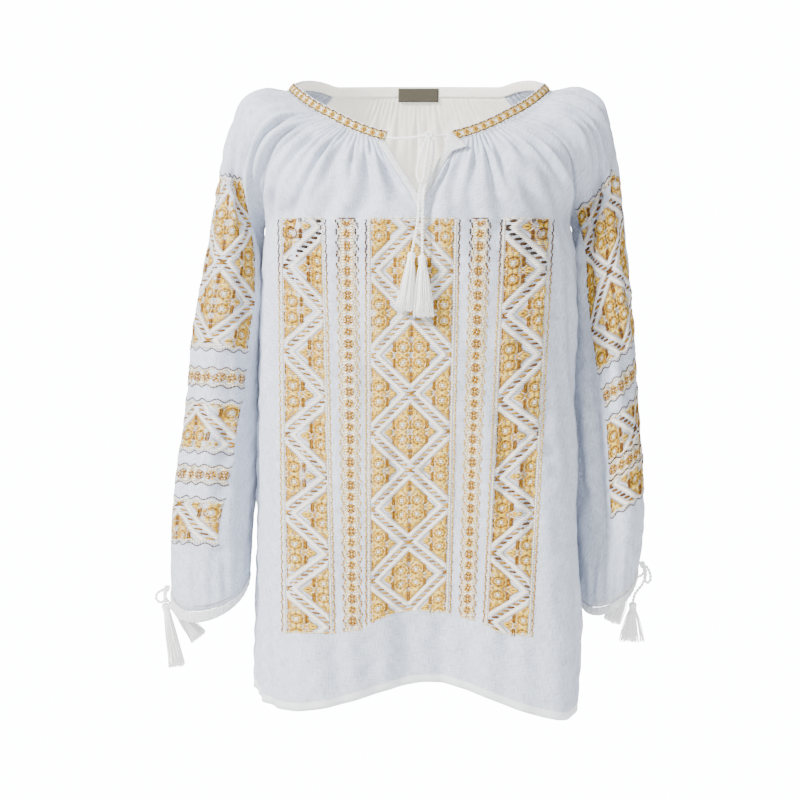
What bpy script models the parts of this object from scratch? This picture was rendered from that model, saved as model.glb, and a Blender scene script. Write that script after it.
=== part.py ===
"""A gathered raglan blouse, built from the pieces that a maker cuts and sews.

Metres, +Z up, the front faces -Y. The origin is the middle of the neck loop at
shoulder height, where the wearer's shoulders hold the blouse up. "Left" and
"right" are the viewer's, looking at the front.

The cloth is one lofted surface in eight half panels. Every row of a half panel
is a cubic curve from its seam to its middle line, and the rows' control points
come from the short section tables below. A level runs from 0 at the neck band
to 1 at the armpit and 2 at the hem or cuff.
"""

import math
from collections import namedtuple

import bmesh
import bpy
from mathutils import Vector
from mathutils.bvhtree import BVHTree

MM = 0.001

# Cloth walls and the gaps between pieces
CLOTH_WALL = 1.2 * MM
HEM_WALL = 2.0 * MM
CASING_WALL = 2.2 * MM
BAND_WALL = 2.6 * MM
SEAM_INSET = 0.2 * MM
REST_GAP = 0.3 * MM
LARGEST_MITRE = 2.6
ARMPIT_INSET = 0.9 * MM
ARMPIT_SPREAD = 14 * MM

# Neck band, cuff casing and slit
BAND_HEIGHT = 12 * MM
BAND_SEGMENTS = 84
BAND_LIFT = 0.35 * MM
CASING_SEGMENTS_PER_HALF = 18
CASING_ROWS = ((1.9837, 0.0), (1.992, 0.3 * MM), (2.0, 0.0))
SLIT_X = -2.5 * MM
BAND_END_LEFT = 34.5 * MM
BAND_END_RIGHT = 38.5 * MM

# Gathers: fine columns are one ridge and one valley each
FRONT_HALF_GATHERS = 16
BACK_HALF_GATHERS = 20
SLEEVE_HALF_GATHERS = 15
CUFF_HALF_GATHERS = 10
FRONT_HALF_COLUMNS = 16
BACK_HALF_COLUMNS = 10
SLEEVE_HALF_COLUMNS = 10
NECK_GATHER_DEPTH = 1.0 * MM
CUFF_GATHER_DEPTH = 1.1 * MM
YOKE_FOLD_DEPTH = 2.6 * MM

# Cord and tassels
CORD_DIAMETER = 3 * MM
SEAT_REACH = 12 * MM
TASSEL_SEGMENTS = 10

BodySection = namedtuple(
    "BodySection",
    "level middle_y middle_z reach seam_x seam_y seam_z pull_x pull_y pull_z",
)
FRONT_SECTIONS = (
    BodySection(0.00, -0.106, -0.0700, 0.037, 0.098, -0.077, -0.040, -0.026, -0.018, -0.016),
    BodySection(0.25, -0.112, -0.0885, 0.055, 0.130, -0.083, -0.052, -0.026, -0.022, -0.016),
    BodySection(0.50, -0.118, -0.1070, 0.068, 0.153, -0.077, -0.071, -0.020, -0.034, -0.014),
    BodySection(0.75, -0.123, -0.1260, 0.080, 0.165, -0.050, -0.103, -0.004, -0.055, -0.008),
    BodySection(1.00, -0.127, -0.1450, 0.092, 0.164, -0.003, -0.148, 0.004, -0.088, -0.002),
    BodySection(1.07, -0.129, -0.1820, 0.096, 0.1635, -0.001, -0.176, 0.022, -0.092, 0.000),
    BodySection(1.16, -0.130, -0.2280, 0.100, 0.1630, 0.000, -0.228, 0.029, -0.092, 0.000),
    BodySection(1.35, -0.131, -0.3250, 0.102, 0.1630, 0.000, -0.325, 0.030, -0.090, 0.000),
    BodySection(1.60, -0.124, -0.4550, 0.102, 0.1640, 0.000, -0.455, 0.027, -0.087, 0.000),
    BodySection(1.80, -0.120, -0.5600, 0.102, 0.1670, 0.000, -0.560, 0.020, -0.083, 0.000),
    BodySection(2.00, -0.116, -0.6550, 0.102, 0.1700, 0.000, -0.655, 0.010, -0.080, 0.000),
)
BACK_SECTIONS = (
    BodySection(0.00, 0.094, -0.0050, 0.036, 0.096, 0.070, -0.0070, -0.027, 0.016, 0.001),
    BodySection(0.25, 0.106, -0.0400, 0.055, 0.122, 0.086, -0.0310, -0.030, 0.018, -0.004),
    BodySection(0.50, 0.114, -0.0760, 0.068, 0.144, 0.086, -0.0600, -0.022, 0.026, -0.006),
    BodySection(0.75, 0.117, -0.1120, 0.080, 0.160, 0.056, -0.1000, -0.006, 0.048, -0.004),
    BodySection(1.00, 0.117, -0.1480, 0.088, 0.164, -0.003, -0.1480, 0.004, 0.082, -0.002),
    BodySection(1.07, 0.116, -0.1820, 0.090, 0.1635, -0.001, -0.176, 0.016, 0.084, 0.000),
    BodySection(1.16, 0.114, -0.2280, 0.092, 0.1630, 0.000, -0.228, 0.022, 0.082, 0.000),
    BodySection(1.35, 0.108, -0.3250, 0.094, 0.1630, 0.000, -0.325, 0.022, 0.078, 0.000),
    BodySection(1.60, 0.104, -0.4550, 0.094, 0.1640, 0.000, -0.455, 0.020, 0.076, 0.000),
    BodySection(1.80, 0.107, -0.5600, 0.094, 0.1670, 0.000, -0.560, 0.014, 0.076, 0.000),
    BodySection(2.00, 0.110, -0.6500, 0.094, 0.1700, 0.000, -0.655, 0.008, 0.076, 0.000),
)
# The body hangs a little to the viewer's left, so that side is wider at the hem
LEFT_SPREAD = 9 * MM

# The sleeve's outer line, over the shoulder and down the outside of the arm
RidgeSection = namedtuple("RidgeSection", "level x y z reach dip")
LEFT_RIDGE = (
    RidgeSection(0.00, 0.1435, 0.004, -0.0060, 0.036, 0.000),
    RidgeSection(0.25, 0.1680, 0.004, -0.0045, 0.050, 0.000),
    RidgeSection(0.50, 0.1880, 0.003, -0.0155, 0.058, 0.000),
    RidgeSection(0.75, 0.1990, 0.003, -0.0350, 0.064, 0.000),
    RidgeSection(1.00, 0.2075, 0.002, -0.0580, 0.070, 0.000),
    RidgeSection(1.15, 0.2200, 0.000, -0.1200, 0.072, 0.000),
    RidgeSection(1.30, 0.2330, -0.002, -0.1850, 0.070, 0.000),
    RidgeSection(1.45, 0.2440, -0.004, -0.2550, 0.070, 0.000),
    RidgeSection(1.60, 0.2530, -0.006, -0.3300, 0.072, 0.000),
    RidgeSection(1.75, 0.2630, -0.008, -0.4100, 0.074, -0.006),
    RidgeSection(1.90, 0.2705, -0.010, -0.4900, 0.070, -0.022),
    RidgeSection(2.00, 0.2715, -0.010, -0.5600, 0.058, -0.040),
)
RIGHT_RIDGE = (
    RidgeSection(0.00, 0.1435, 0.004, -0.0060, 0.036, 0.000),
    RidgeSection(0.25, 0.1670, 0.004, -0.0045, 0.050, 0.000),
    RidgeSection(0.50, 0.1910, 0.003, -0.0145, 0.058, 0.000),
    RidgeSection(0.75, 0.2025, 0.003, -0.0320, 0.064, 0.000),
    RidgeSection(1.00, 0.2095, 0.002, -0.0580, 0.070, 0.000),
    RidgeSection(1.15, 0.2200, 0.000, -0.1200, 0.072, 0.000),
    RidgeSection(1.30, 0.2270, -0.002, -0.1850, 0.070, 0.000),
    RidgeSection(1.45, 0.2325, -0.004, -0.2550, 0.070, 0.000),
    RidgeSection(1.60, 0.2375, -0.006, -0.3300, 0.072, 0.000),
    RidgeSection(1.75, 0.2420, -0.008, -0.4050, 0.074, -0.004),
    RidgeSection(1.90, 0.2445, -0.010, -0.4800, 0.070, -0.014),
    RidgeSection(2.00, 0.2385, -0.010, -0.5300, 0.058, -0.030),
)

# The sleeve's line under the arm, from the armpit down
UnderSection = namedtuple("UnderSection", "level x y z")
LEFT_UNDER = (
    UnderSection(1.00, 0.1658, -0.003, -0.148),
    UnderSection(1.05, 0.1722, 0.000, -0.158),
    UnderSection(1.12, 0.1722, 0.003, -0.181),
    UnderSection(1.21, 0.1711, 0.005, -0.217),
    UnderSection(1.40, 0.1730, 0.004, -0.292),
    UnderSection(1.60, 0.1762, 0.001, -0.376),
    UnderSection(1.80, 0.1812, -0.004, -0.458),
    UnderSection(2.00, 0.1865, -0.010, -0.538),
)
RIGHT_UNDER = (
    UnderSection(1.00, 0.1640, -0.003, -0.148),
    UnderSection(1.05, 0.1702, 0.000, -0.158),
    UnderSection(1.12, 0.1696, 0.003, -0.181),
    UnderSection(1.21, 0.1676, 0.005, -0.219),
    UnderSection(1.40, 0.1676, 0.004, -0.302),
    UnderSection(1.60, 0.1692, 0.001, -0.392),
    UnderSection(1.80, 0.1728, -0.004, -0.480),
    UnderSection(2.00, 0.1775, -0.010, -0.562),
)

# How the sleeve's rows leave the raglan seam, and below it the under line
PullSection = namedtuple("PullSection", "level x front_y back_y z")
SLEEVE_PULL = (
    PullSection(0.00, 0.030, 0.021, -0.018, 0.014),
    PullSection(0.25, 0.028, -0.004, 0.002, 0.012),
    PullSection(0.50, 0.028, -0.010, 0.010, 0.010),
    PullSection(0.75, 0.034, -0.012, 0.014, 0.004),
    PullSection(1.00, 0.042, -0.040, 0.040, -0.008),
    PullSection(1.05, 0.030, -0.047, 0.046, -0.006),
    PullSection(1.12, 0.014, -0.058, 0.057, 0.000),
    PullSection(1.25, 0.009, -0.064, 0.064, 0.000),
    PullSection(1.60, 0.009, -0.070, 0.070, 0.000),
    PullSection(1.90, 0.006, -0.066, 0.066, 0.000),
    PullSection(2.00, 0.002, -0.056, 0.056, 0.000),
)

# Rows: the first are fine, one column for each side of a gather
FINE_LEVELS = (0.0, 0.07, 0.18)
YOKE_LEVELS = (0.33, 0.49, 0.65, 0.82, 1.0)
BODY_LEVELS = (1.07, 1.16, 1.27, 1.39, 1.51, 1.62, 1.72, 1.81, 1.89, 1.95, 1.9835, 1.985, 2.0)
SLEEVE_LEVELS = (1.05, 1.12, 1.21, 1.32, 1.43, 1.54, 1.65, 1.75, 1.84, 1.91)
CUFF_LEVELS = (1.955, 1.983)
HEM_START_LEVEL = 1.984

# Large soft folds: across is -1 at the left seam, 0 at the middle, 1 at the right
Fold = namedtuple("Fold", "across width depth start full")
FRONT_FOLDS = (
    Fold(-0.50, 0.20, 0.024, 1.25, 2.0),
    Fold(0.60, 0.18, 0.026, 1.20, 2.0),
    Fold(0.06, 0.24, -0.020, 1.30, 2.0),
    Fold(-0.86, 0.05, -0.006, 0.75, 1.4),
    Fold(-0.95, 0.04, 0.004, 1.00, 1.5),
    Fold(0.88, 0.06, -0.007, 1.00, 1.6),
    Fold(-0.22, 0.06, 0.005, 1.15, 1.9),
    Fold(0.30, 0.06, 0.005, 1.15, 1.8),
)
BACK_FOLDS = (
    Fold(-0.55, 0.16, 0.020, 1.10, 2.0),
    Fold(0.48, 0.18, 0.022, 1.15, 2.0),
    Fold(0.00, 0.18, -0.016, 1.20, 2.0),
    Fold(-0.82, 0.08, -0.008, 1.00, 1.7),
    Fold(0.80, 0.08, -0.008, 1.00, 1.7),
)
# On a sleeve across runs from -1 under the arm behind, over 0 at the ridge, to 1
SLEEVE_FOLDS = (
    Fold(0.42, 0.12, 0.002, 0.10, 0.6),
    Fold(0.66, 0.12, -0.003, 0.15, 0.8),
    Fold(-0.45, 0.12, 0.002, 0.10, 0.7),
    Fold(-0.68, 0.12, -0.003, 0.20, 0.9),
    Fold(0.30, 0.10, -0.005, 1.20, 1.8),
    Fold(0.55, 0.12, 0.006, 1.30, 1.9),
    Fold(-0.35, 0.12, 0.006, 1.25, 1.9),
    Fold(-0.60, 0.10, -0.005, 1.20, 1.8),
)

# How far the front and back hems hang below or above the plain hem line
HemDrop = namedtuple("HemDrop", "level drop")
FRONT_HEM = (
    HemDrop(-1.00, 0.000),
    HemDrop(-0.50, -0.010),
    HemDrop(0.06, 0.016),
    HemDrop(0.60, -0.022),
    HemDrop(0.80, -0.014),
    HemDrop(0.92, 0.006),
    HemDrop(1.00, 0.022),
)
BACK_HEM = (
    HemDrop(-1.00, 0.022),
    HemDrop(-0.72, 0.008),
    HemDrop(-0.40, -0.004),
    HemDrop(0.00, 0.010),
    HemDrop(0.50, -0.006),
    HemDrop(1.00, 0.000),
)

# The facings down the slit: half widths from its middle line, and how far each
# edge stands off the cloth. The right one's top corner is turned out.
FacingRow = namedtuple("FacingRow", "level inner outer inner_lift outer_lift")
FACING_FOOT = (
    FacingRow(0.35, 0.0158, 0.0246, 0.0, 0.0),
    FacingRow(0.50, 0.0086, 0.0172, 0.0, 0.0),
    FacingRow(0.66, 0.0010, 0.0094, 0.0, 0.0),
    FacingRow(0.70, 0.0002, 0.0078, 0.0, 0.0),
    FacingRow(0.82, 0.0002, 0.0046, 0.0, 0.0),
    FacingRow(0.96, 0.0002, 0.0011, 0.0, 0.0),
)
LEFT_FACING = (
    FacingRow(0.00, 0.0325, 0.0415, 0.0, 0.0),
    FacingRow(0.17, 0.0244, 0.0333, 0.0, 0.0),
) + FACING_FOOT
RIGHT_FACING = (
    FacingRow(-0.10, 0.0310, 0.0345, 0.0056, 0.0058),
    FacingRow(-0.01, 0.0300, 0.0410, 0.0048, 0.0060),
    FacingRow(0.055, 0.0285, 0.0470, 0.0028, 0.0054),
    FacingRow(0.12, 0.0268, 0.0525, 0.0018, 0.0048),
    FacingRow(0.14, 0.0262, 0.0365, 0.0015, 0.0036),
    FacingRow(0.23, 0.0216, 0.0302, 0.0004, 0.0014),
) + FACING_FOOT
FACING_WALL = 1.2 * MM

WHITE_CLOTH = (0.86, 0.88, 0.92)
CASING_WHITE = (0.90, 0.91, 0.94)
BAND_GOLD = (0.66, 0.47, 0.22)
CORD_WHITE = (0.92, 0.92, 0.90)
LABEL_TAUPE = (0.30, 0.26, 0.19)


LEFT, RIGHT = -1, 1
ARMPIT = Vector((0.165, -0.003, -0.148))
LEAST_AGREEMENT = 0.45


def clear_scene():
    for thing in list(bpy.data.objects):
        bpy.data.objects.remove(thing, do_unlink=True)


def finish(name, colour, roughness):
    material = bpy.data.materials.new(name)
    material.use_nodes = True
    shader = material.node_tree.nodes["Principled BSDF"]
    shader.inputs["Base Color"].default_value = (*colour, 1.0)
    shader.inputs["Roughness"].default_value = roughness
    shader.inputs["Metallic"].default_value = 0.0
    material.diffuse_color = (*colour, 1.0)
    return material


def smooth_step(start, full, value):
    share = min(max((value - start) / (full - start), 0.0), 1.0)
    return share * share * (3.0 - 2.0 * share)


def read_table(table, column, level):
    """One column of a section table, read at any level along a smooth curve."""
    levels = [row.level for row in table]
    values = [getattr(row, column) for row in table]
    last = len(levels) - 1
    k = 0
    while k < last - 1 and level > levels[k + 1]:
        k += 1

    def slope(i):
        low, high = max(i - 1, 0), min(i + 1, last)
        return (values[high] - values[low]) / (levels[high] - levels[low])

    span = levels[k + 1] - levels[k]
    t = (level - levels[k]) / span
    if t > 1.0:
        return values[last] + slope(last) * (level - levels[last])
    if t < 0.0:
        return values[0] + slope(0) * (level - levels[0])
    from_start = values[k] * (2 * t**3 - 3 * t**2 + 1) + values[k + 1] * (3 * t**2 - 2 * t**3)
    from_slopes = slope(k) * (t**3 - 2 * t**2 + t) + slope(k + 1) * (t**3 - t**2)
    return from_start + span * from_slopes


def cubic(points, t):
    a, b, c, d = points
    s = 1.0 - t
    return a * s**3 + b * (3 * s * s * t) + c * (3 * s * t * t) + d * t**3


class HalfPanel:
    """Half of a panel: rows from its seam (share 0) to its middle line (share 1)."""

    SAMPLES = 24

    def __init__(self, controls, folds, side, start=None):
        self.controls = controls
        self.folds = folds
        self.side = side
        self.start = start
        self.cache = {}

    def row_lengths(self, level):
        """The row's control points, its lengths so far, and where its cloth ends."""
        if level not in self.cache:
            points = self.controls(level)
            places = [cubic(points, k / self.SAMPLES) for k in range(self.SAMPLES + 1)]
            lengths = [0.0]
            for one, two in zip(places, places[1:]):
                lengths.append(lengths[-1] + (two - one).length)
            self.cache[level] = (points, places, lengths, lengths[-1])
            if self.start is not None and self.start(level) > 0.0:
                reach = self.length_to(level, self.start(level))
                self.cache[level] = (points, places, lengths, reach)
        return self.cache[level]

    def length_to(self, level, half_width):
        """Length along the row from its seam to a half width from its middle line."""
        _, places, lengths, _ = self.row_lengths(level)
        middle = places[-1].x
        for k in range(len(places) - 1, 0, -1):
            near, far = abs(places[k].x - middle), abs(places[k - 1].x - middle)
            if far >= half_width:
                share = (half_width - near) / (far - near)
                return lengths[k] + share * (lengths[k - 1] - lengths[k])
        return 0.0

    def place_at(self, level, wanted):
        """The point of the row at a length from its seam."""
        points, _, lengths, _ = self.row_lengths(level)
        k = 1
        while k < self.SAMPLES and lengths[k] < wanted:
            k += 1
        part = (wanted - lengths[k - 1]) / (lengths[k] - lengths[k - 1])
        return cubic(points, (k - 1 + part) / self.SAMPLES)

    def point(self, level, share):
        reach = self.row_lengths(level)[3]
        return self.place_at(level, min(max(share, 0.0), 1.0) * reach)

    def point_near_middle(self, level, half_width):
        return self.place_at(level, self.length_to(level, half_width))

    def normal(self, level, share):
        small = 0.004
        low, high = max(share - small, 0.0), min(share + small, 1.0)
        along = self.point(level, high) - self.point(level, low)
        down = self.point(level + small, share) - self.point(max(level - small, 0.0), share)
        return down.cross(along).normalized() * self.side

    def across(self, share):
        return self.side * (share - 1.0)

    def fold_depth(self, level, share):
        across = self.across(share)
        depth = 0.0
        for fold in self.folds:
            bell = math.exp(-(((across - fold.across) / fold.width) ** 2))
            depth += fold.depth * bell * smooth_step(fold.start, fold.full, level)
        seam_taper = smooth_step(0.0, 0.10, share)
        return depth * seam_taper


def body_seam(table, side, level):
    spread = LEFT_SPREAD * smooth_step(0.6, 2.0, level) if side == LEFT else 0.0
    return Vector((
        read_table(table, "seam_x", level) + spread,
        read_table(table, "seam_y", level),
        read_table(table, "seam_z", level),
    ))


def body_controls(table, side):
    def controls(level):
        seam = body_seam(table, side, level)
        pull = Vector((
            read_table(table, "pull_x", level),
            read_table(table, "pull_y", level),
            read_table(table, "pull_z", level),
        ))
        middle = Vector((0.0, read_table(table, "middle_y", level), read_table(table, "middle_z", level)))
        reach = Vector((read_table(table, "reach", level), 0.0, 0.0))
        row = [seam, seam + pull, middle + reach, middle]
        mirrored = [Vector((side * p.x, p.y, p.z)) for p in row]
        slit_shift = SLIT_X * (1.0 - smooth_step(0.0, 1.6, level))
        mirrored[3].x += slit_shift
        mirrored[2].x += slit_shift
        return mirrored
    return controls


def sleeve_controls(ridge, under, side, facing):
    """Rows of half a sleeve; facing is -1 for its front half and 1 for its back."""
    body = FRONT_SECTIONS if facing < 0 else BACK_SECTIONS
    pull_y = "front_y" if facing < 0 else "back_y"

    def controls(level):
        if level < 1.0:
            seam = body_seam(body, side, level)
        else:
            seam = Vector([read_table(under, axis, level) for axis in "xyz"])
        pull = Vector((
            read_table(SLEEVE_PULL, "x", level),
            read_table(SLEEVE_PULL, pull_y, level),
            read_table(SLEEVE_PULL, "z", level),
        ))
        top = Vector([read_table(ridge, axis, level) for axis in "xyz"])
        reach = Vector((0.0, facing * read_table(ridge, "reach", level), 0.0))
        dip = read_table(ridge, "dip", level) if level > 1.6 else 0.0
        drop = Vector((0.0, 0.0, dip if facing < 0 else -0.3 * dip))
        row = [seam, seam + pull + drop, top + reach + drop, top]
        return [Vector((side * p.x, p.y, p.z)) for p in row]
    return controls


def notch_half_width(level):
    """The front's slit is cut just wide of its facings."""
    if level >= 1.0:
        return 0.0
    return read_table(LEFT_FACING, "outer", level) + REST_GAP


HALVES = {
    "front_left": HalfPanel(body_controls(FRONT_SECTIONS, LEFT), FRONT_FOLDS, 1, notch_half_width),
    "front_right": HalfPanel(body_controls(FRONT_SECTIONS, RIGHT), FRONT_FOLDS, -1, notch_half_width),
    "back_right": HalfPanel(body_controls(BACK_SECTIONS, RIGHT), BACK_FOLDS, 1),
    "back_left": HalfPanel(body_controls(BACK_SECTIONS, LEFT), BACK_FOLDS, -1),
    "sleeve_left_back": HalfPanel(sleeve_controls(LEFT_RIDGE, LEFT_UNDER, LEFT, 1), SLEEVE_FOLDS, 1),
    "sleeve_left_front": HalfPanel(sleeve_controls(LEFT_RIDGE, LEFT_UNDER, LEFT, -1), SLEEVE_FOLDS, -1),
    "sleeve_right_front": HalfPanel(sleeve_controls(RIGHT_RIDGE, RIGHT_UNDER, RIGHT, -1), SLEEVE_FOLDS, 1),
    "sleeve_right_back": HalfPanel(sleeve_controls(RIGHT_RIDGE, RIGHT_UNDER, RIGHT, 1), SLEEVE_FOLDS, -1),
}


def hem_shift(half, table, level, share):
    weight = smooth_step(1.5, 2.0, level)
    return weight * read_table(table, "drop", half.across(share)) if weight else 0.0


def cloth_row(half, level, columns, gather, hem_table=None, open_middle=False, fold_share=1.0):
    """One row of cloth points, from the seam to the middle line, with its gathers."""
    row = []
    for k in range(columns + 1):
        share = k / columns
        place = half.point(level, share)
        at_seam = k == 0 or (open_middle and k == columns)
        if not at_seam:
            wave = 1.0 if k % 2 else -1.0
            uneven = 0.72 + 0.28 * math.sin(71.0 * place.x + 43.0 * place.y)
            offset = gather * wave * uneven + half.fold_depth(level, share) * fold_share
            place = place + half.normal(level, share) * offset
        if hem_table is not None:
            place.z += hem_shift(half, hem_table, level, share)
        row.append(place)
    return row


def yoke_fold(level):
    """Depth of the soft folds that the gathers run out into."""
    return YOKE_FOLD_DEPTH * (1.0 - smooth_step(0.25, 1.05, level))


def body_half_rows(half, gathers, columns, hem_table, has_slit):
    rows = []
    for level in FINE_LEVELS:
        depth = NECK_GATHER_DEPTH * (0.8 if level == 0.0 else 1.0)
        rows.append(cloth_row(half, level, 2 * gathers, depth, None, has_slit))
    for level in YOKE_LEVELS:
        notched = has_slit and level < 1.0
        rows.append(cloth_row(half, level, columns, yoke_fold(level), hem_table, notched))
    for level in BODY_LEVELS:
        rows.append(cloth_row(half, level, columns, 0.0, hem_table))
    return rows


def sleeve_half_rows(half):
    rows = []
    for level in FINE_LEVELS:
        depth = NECK_GATHER_DEPTH * (0.8 if level == 0.0 else 1.2)
        rows.append(cloth_row(half, level, 2 * SLEEVE_HALF_GATHERS, depth))
    for level in YOKE_LEVELS + SLEEVE_LEVELS:
        fold_share = 1.0 - smooth_step(1.80, 1.95, level)
        rows.append(
            cloth_row(half, level, SLEEVE_HALF_COLUMNS, yoke_fold(level), fold_share=fold_share)
        )
    for level in CUFF_LEVELS:
        rows.append(
            cloth_row(half, level, 2 * CUFF_HALF_GATHERS, CUFF_GATHER_DEPTH, fold_share=0.0)
        )
    return rows


def share_middle(rows_a, rows_b):
    """Two halves of a panel meet on the very same middle points."""
    for row_a, row_b in zip(rows_a, rows_b):
        if (row_a[-1] - row_b[-1]).length < 2 * MM:
            row_b[-1] = row_a[-1]


def share_under_line(rows_a, rows_b, first):
    """Below the armpit a sleeve's two halves also meet under the arm."""
    for row_a, row_b in list(zip(rows_a, rows_b))[first:]:
        row_b[0] = row_a[0]


class Surface:
    """A welded triangle surface with no thickness, facing outwards."""

    def __init__(self):
        self.points = []
        self.index = {}
        self.triangles = []
        self.walls = []

    def add_point(self, place, wall):
        key = (round(place.x, 6), round(place.y, 6), round(place.z, 6))
        if key not in self.index:
            self.index[key] = len(self.points)
            self.points.append(place.copy())
            self.walls.append(wall)
        return self.index[key]

    def add_triangle(self, a, b, c):
        if len({a, b, c}) == 3:
            self.triangles.append((a, b, c))

    def add_rows(self, rows, walls, flip):
        """Joins each row to the next, whatever their numbers of points."""
        for k in range(len(rows) - 1):
            upper = [self.add_point(p, walls[k]) for p in rows[k]]
            lower = [self.add_point(p, walls[k + 1]) for p in rows[k + 1]]
            i = j = 0
            last_i, last_j = len(upper) - 1, len(lower) - 1
            while i < last_i or j < last_j:
                next_upper = (i + 1) / last_i if i < last_i else 2.0
                next_lower = (j + 1) / last_j if j < last_j else 2.0
                if next_upper == next_lower:
                    first = (self.points[upper[i + 1]] - self.points[lower[j]]).length
                    second = (self.points[upper[i]] - self.points[lower[j + 1]]).length
                    next_lower += second - first
                if next_upper <= next_lower:
                    corner = (upper[i], lower[j], upper[i + 1])
                    i += 1
                else:
                    corner = (upper[i], lower[j], lower[j + 1])
                    j += 1
                self.add_triangle(*(reversed(corner) if flip else corner))

    def face_normals(self):
        return [
            (self.points[b] - self.points[a]).cross(self.points[c] - self.points[a]).normalized()
            for a, b, c in self.triangles
        ]


def wall_directions(surfaces):
    """Normals and mitres at each point, shared by all the surfaces that meet there."""
    gathered = {}
    for surface in surfaces:
        keys = {number: key for key, number in surface.index.items()}
        for triangle, normal in zip(surface.triangles, surface.face_normals()):
            for corner, number in enumerate(triangle):
                here = surface.points[number]
                one = surface.points[triangle[(corner + 1) % 3]] - here
                two = surface.points[triangle[(corner + 2) % 3]] - here
                angle = one.angle(two, 0.0)
                gathered.setdefault(keys[number], []).append((normal, angle))
    directions = {}
    for key, faces in gathered.items():
        total = Vector((0.0, 0.0, 0.0))
        weight = 0.0
        for normal, angle in faces:
            total += normal * angle
            weight += angle
        direction = total.normalized()
        lean = sum(direction.dot(normal) * angle for normal, angle in faces) / weight
        directions[key] = (direction, min(1.0 / max(lean, 0.01), LARGEST_MITRE))
    return directions


def boundary_edges(triangles):
    edges = {}
    for number, (a, b, c) in enumerate(triangles):
        for edge in ((a, b), (b, c), (c, a)):
            edges[edge] = number
    return [(edge, number) for edge, number in edges.items() if (edge[1], edge[0]) not in edges]


def inset_border(surface, edges, normals, inset):
    """Where each border point goes, moved in along the cloth by the seam's inset."""
    inward = {}
    for (a, b), number in edges:
        along = (surface.points[b] - surface.points[a]).normalized()
        inside = normals[number].cross(along)
        inward.setdefault(a, []).append(inside)
        inward.setdefault(b, []).append(inside)
    moved = {}
    for number, sides in inward.items():
        place = surface.points[number]
        total = sum(sides, Vector((0.0, 0.0, 0.0))).normalized()
        lean = max(total.dot(sides[0]), 0.35)
        away = (Vector((abs(place.x), place.y, place.z)) - ARMPIT).length / ARMPIT_SPREAD
        moved[number] = place + total * ((inset + ARMPIT_INSET * math.exp(-away * away)) / lean)
    return moved


def thicken(surface, directions, inset=SEAM_INSET):
    """The closed wall round a surface: outer side, inner side and rim."""
    keys = {number: key for key, number in surface.index.items()}
    own = wall_directions([surface])
    edges = boundary_edges(surface.triangles)
    moved = inset_border(surface, edges, surface.face_normals(), inset)
    outer, inner = [], []
    for number, place in enumerate(surface.points):
        direction, mitre = directions[keys[number]]
        if direction.dot(own[keys[number]][0]) < LEAST_AGREEMENT:
            direction, mitre = own[keys[number]]
        middle = moved.get(number, place)
        step = direction * (0.5 * surface.walls[number] * mitre)
        outer.append(middle + step)
        inner.append(middle - step)
    count = len(outer)
    faces = [tuple(t) for t in surface.triangles]
    faces += [(a + count, c + count, b + count) for a, b, c in surface.triangles]
    for (a, b), _ in edges:
        faces.append((b, a, a + count))
        faces.append((b, a + count, b + count))
    return outer + inner, faces


def make_object(name, points, faces, material, smooth=True):
    mesh = bpy.data.meshes.new(name)
    mesh.from_pydata([tuple(p) for p in points], [], faces)
    mesh.validate()
    mesh.materials.append(material)
    if smooth:
        mesh.shade_smooth()
    thing = bpy.data.objects.new(name, mesh)
    bpy.context.collection.objects.link(thing)
    return thing


def panel_surface(halves_rows, walls):
    surface = Surface()
    for rows, flip in halves_rows:
        surface.add_rows(rows, walls, flip)
    return surface


def build_cloth(white):
    rows = {}
    for name in ("front_left", "front_right"):
        rows[name] = body_half_rows(HALVES[name], FRONT_HALF_GATHERS, FRONT_HALF_COLUMNS, FRONT_HEM, True)
    for name in ("back_right", "back_left"):
        rows[name] = body_half_rows(HALVES[name], BACK_HALF_GATHERS, BACK_HALF_COLUMNS, BACK_HEM, False)
    for name in ("sleeve_left_back", "sleeve_left_front", "sleeve_right_front", "sleeve_right_back"):
        rows[name] = sleeve_half_rows(HALVES[name])
    share_middle(rows["front_left"], rows["front_right"])
    share_middle(rows["back_right"], rows["back_left"])
    armpit_row = len(FINE_LEVELS) + len(YOKE_LEVELS) - 1
    for side in ("left", "right"):
        front, back = rows[f"sleeve_{side}_front"], rows[f"sleeve_{side}_back"]
        share_middle(front, back)
        share_under_line(front, back, armpit_row)
        for number, (front_row, back_row) in enumerate(
            zip(rows[f"front_{side}"], rows[f"back_{side}"])
        ):
            if number > armpit_row:
                back_row[0] = front_row[0]
            else:
                front[number][0] = front_row[0]
                back[number][0] = back_row[0]
        rows[f"back_{side}"][armpit_row][0] = rows[f"front_{side}"][armpit_row][0]
        back[armpit_row][0] = rows[f"front_{side}"][armpit_row][0]

    body_levels = FINE_LEVELS + YOKE_LEVELS + BODY_LEVELS
    body_walls = [HEM_WALL if level > HEM_START_LEVEL else CLOTH_WALL for level in body_levels]
    sleeve_walls = [CLOTH_WALL] * len(FINE_LEVELS + YOKE_LEVELS + SLEEVE_LEVELS + CUFF_LEVELS)
    surfaces = {
        "front": panel_surface(((rows["front_left"], False), (rows["front_right"], True)), body_walls),
        "back": panel_surface(((rows["back_right"], False), (rows["back_left"], True)), body_walls),
        "sleeve_left": panel_surface(
            ((rows["sleeve_left_back"], False), (rows["sleeve_left_front"], True)), sleeve_walls
        ),
        "sleeve_right": panel_surface(
            ((rows["sleeve_right_front"], False), (rows["sleeve_right_back"], True)), sleeve_walls
        ),
    }
    directions = wall_directions(surfaces.values())
    for name, surface in surfaces.items():
        make_object(name, *thicken(surface, directions), white)


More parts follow.
